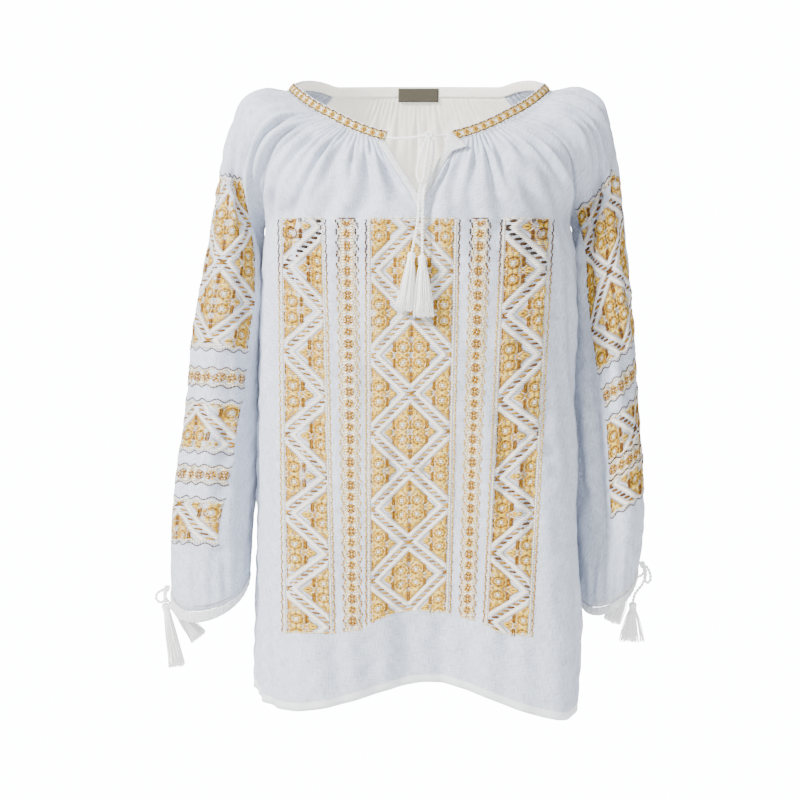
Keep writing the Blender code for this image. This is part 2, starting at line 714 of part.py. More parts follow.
def build_facing(name, table, half, material):
    """A strip along one side of the slit; the right one's corner is turned out."""
    rows = []
    for entry in table:
        level = max(entry.level, 0.0)
        outward = half.normal(level, 0.98)
        row = []
        for width, lift in ((entry.outer, entry.outer_lift), (entry.inner, entry.inner_lift)):
            place = half.point_near_middle(level, width)
            rise = place - half.point_near_middle(level + 0.1, width)
            row.append(place + outward * lift + rise * (10.0 * max(-entry.level, 0.0)))
        rows.append([row[0], row[0].lerp(row[1], 0.5), row[1]])
    surface = Surface()
    surface.add_rows(rows, [FACING_WALL] * len(rows), half.side < 0)
    make_object(name, *thicken(surface, wall_directions([surface]), 0.0), material)


BAND_ENDS = {"front_left": BAND_END_LEFT, "front_right": BAND_END_RIGHT}


def neck_ring(level):
    """The neck loop from the slit's left side, round the back, to its right side."""
    ring = []
    for name, backwards in (
        ("front_left", True),
        ("sleeve_left_front", False),
        ("sleeve_left_back", True),
        ("back_left", False),
        ("back_right", True),
        ("sleeve_right_back", False),
        ("sleeve_right_front", True),
        ("front_right", False),
    ):
        half = HALVES[name]
        steps = 12
        places = [half.point(level, k / steps) for k in range(steps + 1)]
        if name in BAND_ENDS:
            places.append(half.point_near_middle(level, BAND_ENDS[name]))
        if backwards:
            places.reverse()
        ring += places if not ring else places[1:]
    return ring


def spread_evenly(places, segments):
    lengths = [0.0]
    for one, two in zip(places, places[1:]):
        lengths.append(lengths[-1] + (two - one).length)
    spread = []
    k = 1
    for number in range(segments + 1):
        wanted = lengths[-1] * number / segments
        while k < len(places) - 1 and lengths[k] < wanted:
            k += 1
        span = lengths[k] - lengths[k - 1]
        part = (wanted - lengths[k - 1]) / span if span else 0.0
        spread.append(places[k - 1].lerp(places[k], part))
    return spread


def band_frame():
    """Round the neck: each place with the band's directions at its foot and its top."""
    low = spread_evenly(neck_ring(0.0), BAND_SEGMENTS)
    below = spread_evenly(neck_ring(0.1), BAND_SEGMENTS)
    frame = []
    for k, place in enumerate(low):
        before, after = low[max(k - 1, 0)], low[min(k + 1, BAND_SEGMENTS)]
        along = (after - before).normalized()
        slope_up = place - below[k]
        slope_up = (slope_up - along * slope_up.dot(along)).normalized()
        upright = (slope_up * 0.6 + Vector((0.0, 0.0, 0.8))).normalized()
        upright = (upright - along * upright.dot(along)).normalized()
        foot_out, top_out = slope_up.cross(along), upright.cross(along)
        if top_out.dot(Vector((place.x, place.y, 0.0))) < 0.0:
            foot_out.negate()
            top_out.negate()
        frame.append(BandPlace(place, slope_up, foot_out.normalized(), upright, top_out.normalized()))
    return frame


BandPlace = namedtuple("BandPlace", "place slope_up foot_out upright top_out")


def build_band(material):
    """The neck band: a folded strip with a slightly rounded outer face."""
    points, faces = [], []
    sides = 5
    frame = band_frame()
    for place, slope_up, foot_out, upright, top_out in frame:
        foot = place + slope_up * BAND_LIFT
        middle = foot + upright * (0.5 * BAND_HEIGHT)
        top = foot + upright * BAND_HEIGHT
        points.append(foot - foot_out * (0.5 * BAND_WALL))
        points.append(foot + foot_out * (0.5 * BAND_WALL))
        points.append(middle + top_out * (0.7 * BAND_WALL))
        points.append(top + top_out * (0.5 * BAND_WALL))
        points.append(top - top_out * (0.5 * BAND_WALL))
    for k in range(len(frame) - 1):
        for s in range(sides):
            a, b = k * sides + s, k * sides + (s + 1) % sides
            c, d = a + sides, b + sides
            faces += [(a, b, c), (b, d, c)]
    end = (len(frame) - 1) * sides
    for s in range(1, sides - 1):
        faces.append((0, s + 1, s))
        faces.append((end, end + s, end + s + 1))
    band = make_object("neck_band", points, faces, material)
    face_outwards(band)
    return band


def face_outwards(thing):
    shape = bmesh.new()
    shape.from_mesh(thing.data)
    bmesh.ops.recalc_face_normals(shape, faces=shape.faces)
    shape.to_mesh(thing.data)
    shape.free()


LABEL_WIDTH = 46 * MM
LABEL_HEIGHT = 15 * MM
LABEL_WALL = 1.0 * MM
LABEL_TOP = 10.5 * MM
LABEL_CLEAR = 2.5 * MM
LABEL_COLUMNS = 6


def build_label(material):
    """A plain woven label, sewn inside the band at the middle of the back."""
    behind = [entry for entry in band_frame() if entry.place.y > 0.06]
    rows = [[], []]
    for k in range(LABEL_COLUMNS + 1):
        across = LABEL_WIDTH * (k / LABEL_COLUMNS - 0.5)
        one, two = [
            (a, b) for a, b in zip(behind, behind[1:]) if a.place.x <= across <= b.place.x
        ][0]
        share = (across - one.place.x) / (two.place.x - one.place.x)
        foot = one.place.lerp(two.place, share)
        upright = one.upright.lerp(two.upright, share).normalized()
        inward = -one.top_out.lerp(two.top_out, share).normalized()
        for row, up in zip(rows, (LABEL_TOP, LABEL_TOP - LABEL_HEIGHT)):
            row.append(foot + upright * up + inward * LABEL_CLEAR)
    surface = Surface()
    surface.add_rows(rows, [LABEL_WALL] * 2, False)
    make_object("label", *thicken(surface, wall_directions([surface]), 0.0), material)


def build_casing(side, name, material):
    """The gathered casing that closes a sleeve, with its drawstring inside."""
    front = HALVES[f"sleeve_{side}_front"]
    back = HALVES[f"sleeve_{side}_back"]
    columns = CASING_SEGMENTS_PER_HALF
    count = 2 * columns
    points, faces = [], []
    for level, bulge in CASING_ROWS:
        places = [(front, k / columns) for k in range(columns)]
        places += [(back, 1.0 - k / columns) for k in range(columns)]
        for half, share in places:
            step = half.normal(level, share) * (0.5 * CASING_WALL + bulge)
            points.append(half.point(level, share) + step)
            points.append(half.point(level, share) - step)

    def corner(ring, k, inner):
        return 2 * (ring * count + k % count) + inner

    last = len(CASING_ROWS) - 1
    for k in range(count):
        for ring in range(last):
            for inner in (0, 1):
                a, b = corner(ring, k, inner), corner(ring, k + 1, inner)
                c, d = corner(ring + 1, k, inner), corner(ring + 1, k + 1, inner)
                faces += [(a, b, c), (b, d, c)]
        for ring in (0, last):
            a, b = corner(ring, k, 0), corner(ring, k + 1, 0)
            c, d = corner(ring, k, 1), corner(ring, k + 1, 1)
            faces += [(a, b, c), (b, d, c)]
    casing = make_object(name, points, faces, material)
    face_outwards(casing)
    return casing


Way = namedtuple("Way", "x y z")
KnotPlace = namedtuple("KnotPlace", "x y z width depth height rests_on")
KNOTS = {
    "neck_knot": KnotPlace(0.0096, -0.1130, -0.0595, 0.0060, 0.0048, 0.0050, ()),
    "cuff_left_knot": KnotPlace(
        -0.2800, -0.0180, -0.5480, 0.0042, 0.0050, 0.0046, ("cuff_left", "sleeve_left")
    ),
    "cuff_right_knot": KnotPlace(
        0.2470, -0.0220, -0.5210, 0.0042, 0.0050, 0.0046, ("cuff_right", "sleeve_right")
    ),
}

# The cords' middle lines as they hang. A step is in cord diameters.
CordRun = namedtuple("CordRun", "step ways")
CORDS = {
    "neck_cord_left": CordRun(2.6, (
        Way(-0.0350, -0.1030, -0.0610),
        Way(-0.0250, -0.1065, -0.0620),
        Way(-0.0100, -0.1110, -0.0618),
        Way(0.0020, -0.1128, -0.0602),
    )),
    "neck_cord_right": CordRun(2.6, (
        Way(0.0300, -0.1018, -0.0588),
        Way(0.0262, -0.1032, -0.0591),
        Way(0.0215, -0.1070, -0.0594),
        Way(0.0168, -0.1114, -0.0595),
    )),
    "neck_loop": CordRun(1.6, (
        Way(0.0060, -0.1166, -0.0646),
        Way(0.0020, -0.1190, -0.0760),
        Way(-0.0024, -0.1225, -0.0930),
        Way(-0.0030, -0.1255, -0.1025),
        Way(0.0004, -0.1275, -0.1085),
        Way(0.0040, -0.1272, -0.1030),
        Way(0.0050, -0.1255, -0.0920),
        Way(0.0078, -0.1215, -0.0770),
        Way(0.0095, -0.1182, -0.0653),
    )),
    "neck_end_left": CordRun(2.6, (
        Way(0.0098, -0.1132, -0.0653),
        Way(0.0085, -0.1145, -0.0740),
        Way(0.0062, -0.1180, -0.0883),
        Way(0.0038, -0.1225, -0.1036),
        Way(-0.0007, -0.1285, -0.1190),
        Way(-0.0020, -0.1322, -0.1452),
        Way(-0.0063, -0.1345, -0.1713),
        Way(-0.0084, -0.1354, -0.1808),
    )),
    "neck_end_right": CordRun(2.6, (
        Way(0.0135, -0.1140, -0.0648),
        Way(0.0145, -0.1150, -0.0740),
        Way(0.0126, -0.1180, -0.0883),
        Way(0.0084, -0.1230, -0.1050),
        Way(0.0040, -0.1285, -0.1190),
        Way(0.0026, -0.1322, -0.1452),
        Way(0.0023, -0.1345, -0.1713),
        Way(0.0022, -0.1358, -0.1839),
    )),
    "cuff_left_loop": CordRun(1.25, (
        Way(-0.2812, -0.0236, -0.5496),
        Way(-0.2862, -0.0260, -0.5528),
        Way(-0.2872, -0.0275, -0.5582),
        Way(-0.2828, -0.0285, -0.5622),
        Way(-0.2782, -0.0280, -0.5600),
        Way(-0.2770, -0.0255, -0.5540),
    )),
    "cuff_left_end_a": CordRun(2.0, (
        Way(-0.2782, -0.0190, -0.5531),
        Way(-0.2785, -0.0215, -0.5575),
        Way(-0.2780, -0.0230, -0.5618),
    )),
    "cuff_left_end_b": CordRun(2.0, (
        Way(-0.2795, -0.0135, -0.5520),
        Way(-0.2798, -0.0085, -0.5580),
        Way(-0.2772, -0.0050, -0.5635),
        Way(-0.2740, -0.0040, -0.5666),
    )),
    "cuff_right_loop": CordRun(1.25, (
        Way(0.2490, -0.0268, -0.5240),
        Way(0.2520, -0.0290, -0.5310),
        Way(0.2522, -0.0300, -0.5375),
        Way(0.2490, -0.0305, -0.5405),
        Way(0.2462, -0.0300, -0.5370),
        Way(0.2455, -0.0275, -0.5268),
    )),
    "cuff_right_end_a": CordRun(2.6, (
        Way(0.2470, -0.0225, -0.5261),
        Way(0.2478, -0.0235, -0.5330),
        Way(0.2440, -0.0240, -0.5430),
        Way(0.2365, -0.0245, -0.5530),
        Way(0.2342, -0.0245, -0.5605),
    )),
    "cuff_right_end_b": CordRun(2.0, (
        Way(0.2478, -0.0175, -0.5245),
        Way(0.2475, -0.0135, -0.5305),
        Way(0.2430, -0.0120, -0.5355),
        Way(0.2365, -0.0125, -0.5375),
        Way(0.2306, -0.0135, -0.5398),
    )),
}

# Tassels: where the cord enters, where the skirt ends, and the skirt's half sizes
TasselPlace = namedtuple("TasselPlace", "top foot half_width half_depth")
TASSELS = {
    "neck_tassel_left": TasselPlace(
        Way(-0.0085, -0.1356, -0.1813), Way(-0.0172, -0.1400, -0.2440), 0.0092, 0.0062
    ),
    "neck_tassel_right": TasselPlace(
        Way(0.0022, -0.1360, -0.1844), Way(0.0034, -0.1405, -0.2505), 0.0104, 0.0062
    ),
    "cuff_left_tassel_a": TasselPlace(
        Way(-0.2777, -0.0237, -0.5637), Way(-0.2650, -0.0245, -0.6350), 0.0085, 0.0075
    ),
    "cuff_left_tassel_b": TasselPlace(
        Way(-0.2731, -0.0038, -0.5675), Way(-0.2420, -0.0040, -0.6060), 0.0095, 0.0075
    ),
    "cuff_right_tassel_a": TasselPlace(
        Way(0.2339, -0.0245, -0.5623), Way(0.2325, -0.0250, -0.6070), 0.0130, 0.0080
    ),
    "cuff_right_tassel_b": TasselPlace(
        Way(0.2291, -0.0136, -0.5417), Way(0.2120, -0.0060, -0.5880), 0.0090, 0.0070
    ),
}
# The head's rings: how far down it they lie, and their radius
HeadRing = namedtuple("HeadRing", "down radius")
TASSEL_HEAD = (
    HeadRing(0.0, 1.8 * MM),
    HeadRing(0.9 * MM, 3.5 * MM),
    HeadRing(3.2 * MM, 4.4 * MM),
    HeadRing(6.6 * MM, 4.1 * MM),
    HeadRing(7.8 * MM, 3.3 * MM),
    HeadRing(9.4 * MM, 4.5 * MM),
)
# The locks' steps: share of the skirt's length, share of its flare, and thickness
LockStep = namedtuple("LockStep", "along flare thickness")
LOCK_STEPS = (
    LockStep(0.30, 0.42, 0.66),
    LockStep(1.00, 1.00, 0.52),
)


def smooth_route(run):
    """Places every few diameters along a smooth curve through the given ones."""
    places = [Vector(way) for way in run.ways]
    fine = []
    for k in range(len(places) - 1):
        before, here = places[max(k - 1, 0)], places[k]
        there, after = places[k + 1], places[min(k + 2, len(places) - 1)]
        for step in range(8):
            t = step / 8
            fine.append(
                here * (2 * t**3 - 3 * t**2 + 1)
                + there * (3 * t**2 - 2 * t**3)
                + (there - before) * (0.5 * (t**3 - 2 * t**2 + t))
                + (after - here) * (0.5 * (t**3 - t**2))
            )
    fine.append(places[-1])
    length = sum((b - a).length for a, b in zip(fine, fine[1:]))
    return spread_evenly(fine, max(2, round(length / (run.step * CORD_DIAMETER))))


def surface_tree(thing):
    mesh = thing.data
    corners = [vertex.co for vertex in mesh.vertices]
    return BVHTree.FromPolygons(corners, [tuple(face.vertices) for face in mesh.polygons])


def room_ahead(places, direction, trees):
    """How far the places can move along a direction before one meets a surface."""
    room = SEAT_REACH
    for tree in trees:
        for place in places:
            distance = tree.ray_cast(place, direction, SEAT_REACH)[3]
            if distance is not None:
                room = min(room, distance)
    return room


def seat_end(places, number, before, trees):
    """Lengthens or shortens a cord's end until it just clears what it runs to."""
    end = places[number]
    direction = (end - places[before]).normalized()
    side = direction.orthogonal().normalized()
    over = direction.cross(side)
    rim = [end]
    for k in range(8):
        turn = 0.25 * math.pi * k
        rim.append(end + (side * math.cos(turn) + over * math.sin(turn)) * (0.5 * CORD_DIAMETER))
    room = room_ahead(rim, direction, trees)
    if room < SEAT_REACH:
        places[number] = end + direction * (room - REST_GAP)


def build_cord(name, run, trees, material):
    places = smooth_route(run)
    seat_end(places, 0, 1, trees)
    seat_end(places, -1, -2, trees)
    curve = bpy.data.curves.new(name, "CURVE")
    curve.dimensions = "3D"
    curve.bevel_depth = 0.5 * CORD_DIAMETER
    curve.bevel_resolution = 2
    curve.use_fill_caps = True
    spline = curve.splines.new("POLY")
    spline.points.add(len(places) - 1)
    for point, place in zip(spline.points, places):
        point.co = (*place, 1.0)
    curve.materials.append(material)
    cord = bpy.data.objects.new(name, curve)
    bpy.context.collection.objects.link(cord)
    return cord


def build_knot(name, place, material):
    """A pulled-tight knot: a small body with two turns of cord showing round it."""
    rings, segments = 6, 12
    centre = Vector((place.x, place.y, place.z))
    points, faces = [centre + Vector((0.0, 0.0, place.height))], []
    for ring in range(1, rings):
        tilt = math.pi * ring / rings
        for s in range(segments):
            turn = 2.0 * math.pi * s / segments
            swell = 0.90 + 0.10 * math.cos(3.0 * turn + 2.0 * tilt)
            flat = math.sin(tilt) * swell
            points.append(centre + Vector((
                place.width * flat * math.cos(turn),
                place.depth * flat * math.sin(turn),
                place.height * math.cos(tilt),
            )))
    points.append(centre - Vector((0.0, 0.0, place.height)))
    last = len(points) - 1
    for s in range(segments):
        after = (s + 1) % segments
        faces.append((0, 1 + s, 1 + after))
        faces.append((last, last - segments + after, last - segments + s))
        for ring in range(rings - 2):
            a, b = 1 + ring * segments + s, 1 + ring * segments + after
            faces += [(a, a + segments, b), (b, a + segments, b + segments)]
    knot = make_object(name, points, faces, material)
    if place.rests_on:
        inward = Vector((-1.0 if place.x > 0.0 else 1.0, 0.0, 0.0))
        trees = [surface_tree(bpy.data.objects[other]) for other in place.rests_on]
        shift = inward * (room_ahead(points, inward, trees) - REST_GAP)
        for vertex in knot.data.vertices:
            vertex.co += shift
    return knot


def build_tassel(name, tassel, material):
    """A turned head with its locks growing out of the bottom, one for each patch."""
    top, foot = Vector(tassel.top), Vector(tassel.foot)
    down = (foot - top).normalized()
    side = (Vector((1.0, 0.0, 0.0)) - down * down.x).normalized()
    deep = down.cross(side)
    skirt = (foot - top).length - TASSEL_HEAD[-1].down
    wheel = [2.0 * math.pi * k / TASSEL_SEGMENTS for k in range(TASSEL_SEGMENTS)]

    def ring_points(distance, radius):
        middle = top + down * distance
        return [middle + (side * math.cos(t) + deep * math.sin(t)) * radius for t in wheel]

    points, faces = [], []
    for ring in TASSEL_HEAD:
        points += ring_points(ring.down, ring.radius)
    n = TASSEL_SEGMENTS
    for k in range(1, n - 1):
        faces.append((0, k, k + 1))
    for ring in range(len(TASSEL_HEAD) - 1):
        for k in range(n):
            a, b = ring * n + k, ring * n + (k + 1) % n
            faces += [(a, a + n, b), (b, a + n, b + n)]

    rim = len(points) - n
    inner = len(points)
    points += ring_points(TASSEL_HEAD[-1].down, 0.52 * TASSEL_HEAD[-1].radius)
    centre = len(points)
    points.append(top + down * TASSEL_HEAD[-1].down)
    patches = []
    for k in range(n):
        after = (k + 1) % n
        patches.append((rim + k, inner + k, inner + after, rim + after))
    for k in range(0, n, 2):
        patches.append((inner + k, centre, inner + (k + 2) % n, inner + k + 1))
    middle = points[centre]
    for patch in patches:
        root = sum((points[p] for p in patch), Vector((0.0, 0.0, 0.0))) / 4
        out = root - middle
        spread = side * (out.dot(side) * tassel.half_width) + deep * (out.dot(deep) * tassel.half_depth)
        flare = spread / (0.85 * TASSEL_HEAD[-1].radius)
        loop = list(patch)
        for step in LOCK_STEPS:
            here = root.lerp(middle + flare, step.flare) + down * (skirt * step.along)
            new = []
            for p in patch:
                new.append(len(points))
                points.append(here + (points[p] - root) * step.thickness)
            for i in range(4):
                j = (i + 1) % 4
                faces += [(loop[i], new[i], loop[j]), (loop[j], new[i], new[j])]
            loop = new
        faces += [(loop[0], loop[1], loop[2]), (loop[0], loop[2], loop[3])]
    tassel_object = make_object(name, points, faces, material)
    face_outwards(tassel_object)
    return tassel_object


def main():
    clear_scene()
    white = finish("white_cloth", WHITE_CLOTH, 0.85)
    casing = finish("casing_cloth", CASING_WHITE, 0.85)
    band = finish("band_embroidery", BAND_GOLD, 0.6)
    label = finish("label_weave", LABEL_TAUPE, 0.7)
    cord = finish("cord_white", CORD_WHITE, 0.7)
    build_cloth(white)
    build_facing("slit_facing_left", LEFT_FACING, HALVES["front_left"], casing)
    build_facing("slit_facing_right", RIGHT_FACING, HALVES["front_right"], casing)
    build_band(band)
    build_label(label)
    build_casing("left", "cuff_left", casing)
    build_casing("right", "cuff_right", casing)
    seats = [bpy.data.objects["neck_band"]]
    for name, place in KNOTS.items():
        seats.append(build_knot(name, place, cord))
    for name, tassel in TASSELS.items():
        seats.append(build_tassel(name, tassel, cord))
    trees = [surface_tree(seat) for seat in seats]
    for name, run in CORDS.items():
        build_cord(name, run, trees, cord)


main()
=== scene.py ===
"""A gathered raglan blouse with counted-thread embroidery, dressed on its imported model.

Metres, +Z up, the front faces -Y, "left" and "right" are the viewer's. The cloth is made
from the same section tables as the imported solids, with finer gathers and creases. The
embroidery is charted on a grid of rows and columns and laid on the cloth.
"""

import math
from collections import namedtuple
import bmesh
import bpy
import numpy as np
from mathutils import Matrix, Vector
from mathutils.bvhtree import BVHTree


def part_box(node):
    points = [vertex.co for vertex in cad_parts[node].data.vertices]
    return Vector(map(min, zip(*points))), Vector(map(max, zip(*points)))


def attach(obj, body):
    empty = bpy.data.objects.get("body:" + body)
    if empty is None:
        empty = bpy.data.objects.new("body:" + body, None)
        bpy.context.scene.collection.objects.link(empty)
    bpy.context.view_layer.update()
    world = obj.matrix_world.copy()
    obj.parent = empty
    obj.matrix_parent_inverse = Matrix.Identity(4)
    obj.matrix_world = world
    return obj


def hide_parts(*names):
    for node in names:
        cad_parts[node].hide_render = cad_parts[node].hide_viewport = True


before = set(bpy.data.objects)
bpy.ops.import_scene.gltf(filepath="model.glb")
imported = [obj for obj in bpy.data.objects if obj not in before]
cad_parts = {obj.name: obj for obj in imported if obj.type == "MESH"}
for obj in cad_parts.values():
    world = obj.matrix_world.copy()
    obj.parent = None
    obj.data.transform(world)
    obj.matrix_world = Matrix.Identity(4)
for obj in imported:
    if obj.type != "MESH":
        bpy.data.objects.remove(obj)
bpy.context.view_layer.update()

bl_info = {
    "name": "Gathered Blouse",
    "version": (1, 0, 0),
    "blender": (4, 5, 0),
    "location": "3D View > Sidebar > Blouse",
    "description": "Makes a gathered blouse with embroidery, drawstrings and tassels",
    "category": "Object",
}

MM = 0.001
TURN = 2.0 * math.pi
SIDES = (-1.0, 1.0)


# Sizes and colours that a user would change

def length_property(label, text, millimetres, precision=4):
    return bpy.props.FloatProperty(
        name=label, description=text, default=millimetres * MM, unit="LENGTH", precision=precision)


class BlouseSizes(bpy.types.PropertyGroup):
    """Sizes of the cloth, the cords and the thread."""

    cloth_wall: length_property("Cloth wall", "Thickness of the linen", 1.2)
    casing_wall: length_property("Casing wall", "Thickness of the folded cuff casing", 2.2)
    band_wall: length_property("Band wall", "Thickness of the folded neck band", 2.6)
    band_height: length_property("Band height", "Height of the neck band", 12)
    cord: length_property("Cord", "Diameter of the two-ply drawstrings", 3)
    crease_depth: length_property("Crease depth", "Depth of the soft creases in the cloth", 2.1)
    thread_height: length_property(
        "Thread height", "How far a stitch stands off the cloth", 0.45, 5)
    tassel_threads: bpy.props.IntProperty(
        name="Tassel threads", description="Threads in the skirt of each tassel", default=84)


def colour_property(label, text, default):
    return bpy.props.FloatVectorProperty(
        name=label, description=text, subtype="COLOR", size=3, min=0.0, max=1.0, default=default)


class BlouseColours(bpy.types.PropertyGroup):
    """Colours of the cloth and the threads."""

    # White linen with the cool blue-grey of soft shade painted into its colour
    linen: colour_property("Linen", "The cloth's outside", (0.74, 0.80, 0.93))
    linen_inside: colour_property("Linen inside", "The back's inside", (0.93, 0.90, 0.80))
    hem: colour_property("Hem", "Doubled cloth at hems, casings and facings", (0.95, 0.96, 0.98))
    cord: colour_property("Cord", "Drawstrings and tassels", (0.98, 0.975, 0.96))
    label: colour_property("Label", "The blank label's weave", (0.077, 0.069, 0.050))
    thread_white: colour_property(
        "White thread", "Satin stitches of the lattice", (0.97, 0.955, 0.925))
    thread_light: colour_property("Light thread", "Light gold silk", (0.86, 0.60, 0.085))
    thread_gold: colour_property("Gold thread", "Gold silk", (0.58, 0.29, 0.018))
    thread_brown: colour_property("Brown thread", "Brown silk", (0.14, 0.052, 0.008))
    thread_dark: colour_property("Dark thread", "Dark edging thread", (0.018, 0.011, 0.009))


def sizes():
    return bpy.context.scene.blouse_sizes


def colours():
    return bpy.context.scene.blouse_colours


# The camera of the photograph, and where a point of the blouse falls in its frame

HALF_FRAME = 400.0
VIEW_ANGLE = math.radians(19.2)
AIM = Vector((-0.0209, 0.0, -0.3425))
RISE = math.radians(3.0)
DISTANCE = 2.6
CAMERA_PLACE = AIM + Vector((0.0, -math.cos(RISE), math.sin(RISE))) * DISTANCE
LOOK = np.array((0.0, math.cos(RISE), -math.sin(RISE)))
UP = np.array((0.0, math.sin(RISE), math.cos(RISE)))
PIXELS = HALF_FRAME / math.tan(0.5 * VIEW_ANGLE)


def in_frame(places):
    """Column and row of the photograph's frame for an array of places."""
    away = places - np.array(CAMERA_PLACE)
    depth = away @ LOOK
    return HALF_FRAME + away[..., 0] / depth * PIXELS, HALF_FRAME - (away @ UP) / depth * PIXELS


# Section tables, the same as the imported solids'

LEFT, RIGHT = -1, 1
SLIT_X = -2.5 * MM
BAND_END_LEFT = 34.5 * MM
BAND_END_RIGHT = 38.5 * MM
BAND_LIFT = 0.35 * MM
WELD_GAP = 0.02 * MM
REST_GAP = 0.3 * MM



def table_of(kind, rows):
    return tuple(kind(*row) for row in rows)


BodySection = namedtuple(
    "BodySection", "level middle_y middle_z reach seam_x seam_y seam_z pull_x pull_y pull_z")
FRONT_SECTIONS = table_of(BodySection, (
    (0.0, -0.106, -0.07, 0.037, 0.098, -0.077, -0.04, -0.026, -0.018, -0.016),
    (0.25, -0.112, -0.0885, 0.055, 0.13, -0.083, -0.052, -0.026, -0.022, -0.016),
    (0.5, -0.118, -0.107, 0.068, 0.153, -0.077, -0.071, -0.02, -0.034, -0.014),
    (0.75, -0.123, -0.126, 0.08, 0.165, -0.05, -0.103, -0.004, -0.055, -0.008),
    (1.0, -0.127, -0.145, 0.092, 0.164, -0.003, -0.148, 0.004, -0.088, -0.002),
    (1.07, -0.129, -0.182, 0.096, 0.1635, -0.001, -0.176, 0.022, -0.092, 0.0),
    (1.16, -0.13, -0.228, 0.1, 0.163, 0.0, -0.228, 0.029, -0.092, 0.0),
    (1.35, -0.131, -0.325, 0.102, 0.163, 0.0, -0.325, 0.03, -0.09, 0.0),
    (1.6, -0.124, -0.455, 0.102, 0.164, 0.0, -0.455, 0.027, -0.087, 0.0),
    (1.8, -0.12, -0.56, 0.102, 0.167, 0.0, -0.56, 0.02, -0.083, 0.0),
    (2.0, -0.116, -0.655, 0.102, 0.17, 0.0, -0.655, 0.01, -0.08, 0.0),
))
BACK_SECTIONS = table_of(BodySection, (
    (0.0, 0.094, -0.005, 0.036, 0.096, 0.07, -0.007, -0.027, 0.016, 0.001),
    (0.25, 0.106, -0.04, 0.055, 0.122, 0.086, -0.031, -0.03, 0.018, -0.004),
    (0.5, 0.114, -0.076, 0.068, 0.144, 0.086, -0.06, -0.022, 0.026, -0.006),
    (0.75, 0.117, -0.112, 0.08, 0.16, 0.056, -0.1, -0.006, 0.048, -0.004),
    (1.0, 0.117, -0.148, 0.088, 0.164, -0.003, -0.148, 0.004, 0.082, -0.002),
    (1.07, 0.116, -0.182, 0.09, 0.1635, -0.001, -0.176, 0.016, 0.084, 0.0),
    (1.16, 0.114, -0.228, 0.092, 0.163, 0.0, -0.228, 0.022, 0.082, 0.0),
    (1.35, 0.108, -0.325, 0.094, 0.163, 0.0, -0.325, 0.022, 0.078, 0.0),
    (1.6, 0.104, -0.455, 0.094, 0.164, 0.0, -0.455, 0.02, 0.076, 0.0),
    (1.8, 0.107, -0.56, 0.094, 0.167, 0.0, -0.56, 0.014, 0.076, 0.0),
    (2.0, 0.11, -0.65, 0.094, 0.17, 0.0, -0.655, 0.008, 0.076, 0.0),
))
# The body hangs a little to the viewer's left, so that side is wider at the hem
LEFT_SPREAD = 9 * MM

# The sleeve's outer line, over the shoulder and down the outside of the arm
RidgeSection = namedtuple("RidgeSection", "level x y z reach dip")
LEFT_RIDGE = table_of(RidgeSection, (
    (0.0, 0.1435, 0.004, -0.006, 0.036, 0.0), (0.25, 0.168, 0.004, -0.0045, 0.05, 0.0),
    (0.5, 0.188, 0.003, -0.0155, 0.058, 0.0), (0.75, 0.199, 0.003, -0.035, 0.064, 0.0),
    (1.0, 0.2075, 0.002, -0.058, 0.07, 0.0), (1.15, 0.22, 0.0, -0.12, 0.072, 0.0),
    (1.3, 0.233, -0.002, -0.185, 0.07, 0.0), (1.45, 0.244, -0.004, -0.255, 0.07, 0.0),
    (1.6, 0.253, -0.006, -0.33, 0.072, 0.0), (1.75, 0.263, -0.008, -0.41, 0.074, -0.006),
    (1.9, 0.2705, -0.01, -0.49, 0.07, -0.022), (2.0, 0.2715, -0.01, -0.56, 0.058, -0.04),
))
RIGHT_RIDGE = table_of(RidgeSection, (
    (0.0, 0.1435, 0.004, -0.006, 0.036, 0.0), (0.25, 0.167, 0.004, -0.0045, 0.05, 0.0),
    (0.5, 0.191, 0.003, -0.0145, 0.058, 0.0), (0.75, 0.2025, 0.003, -0.032, 0.064, 0.0),
    (1.0, 0.2095, 0.002, -0.058, 0.07, 0.0), (1.15, 0.22, 0.0, -0.12, 0.072, 0.0),
    (1.3, 0.227, -0.002, -0.185, 0.07, 0.0), (1.45, 0.2325, -0.004, -0.255, 0.07, 0.0),
    (1.6, 0.2375, -0.006, -0.33, 0.072, 0.0), (1.75, 0.242, -0.008, -0.405, 0.074, -0.004),
    (1.9, 0.2445, -0.01, -0.48, 0.07, -0.014), (2.0, 0.2385, -0.01, -0.53, 0.058, -0.03),
))

# The sleeve's line under the arm, from the armpit down
UnderSection = namedtuple("UnderSection", "level x y z")
LEFT_UNDER = table_of(UnderSection, (
    (1.0, 0.1658, -0.003, -0.148), (1.05, 0.1722, 0.0, -0.158), (1.12, 0.1722, 0.003, -0.181),
    (1.21, 0.1711, 0.005, -0.217), (1.4, 0.173, 0.004, -0.292), (1.6, 0.1762, 0.001, -0.376),
    (1.8, 0.1812, -0.004, -0.458), (2.0, 0.1865, -0.01, -0.538),
))
RIGHT_UNDER = table_of(UnderSection, (
    (1.0, 0.164, -0.003, -0.148), (1.05, 0.1702, 0.0, -0.158), (1.12, 0.1696, 0.003, -0.181),
    (1.21, 0.1676, 0.005, -0.219), (1.4, 0.1676, 0.004, -0.302), (1.6, 0.1692, 0.001, -0.392),
    (1.8, 0.1728, -0.004, -0.48), (2.0, 0.1775, -0.01, -0.562),
))

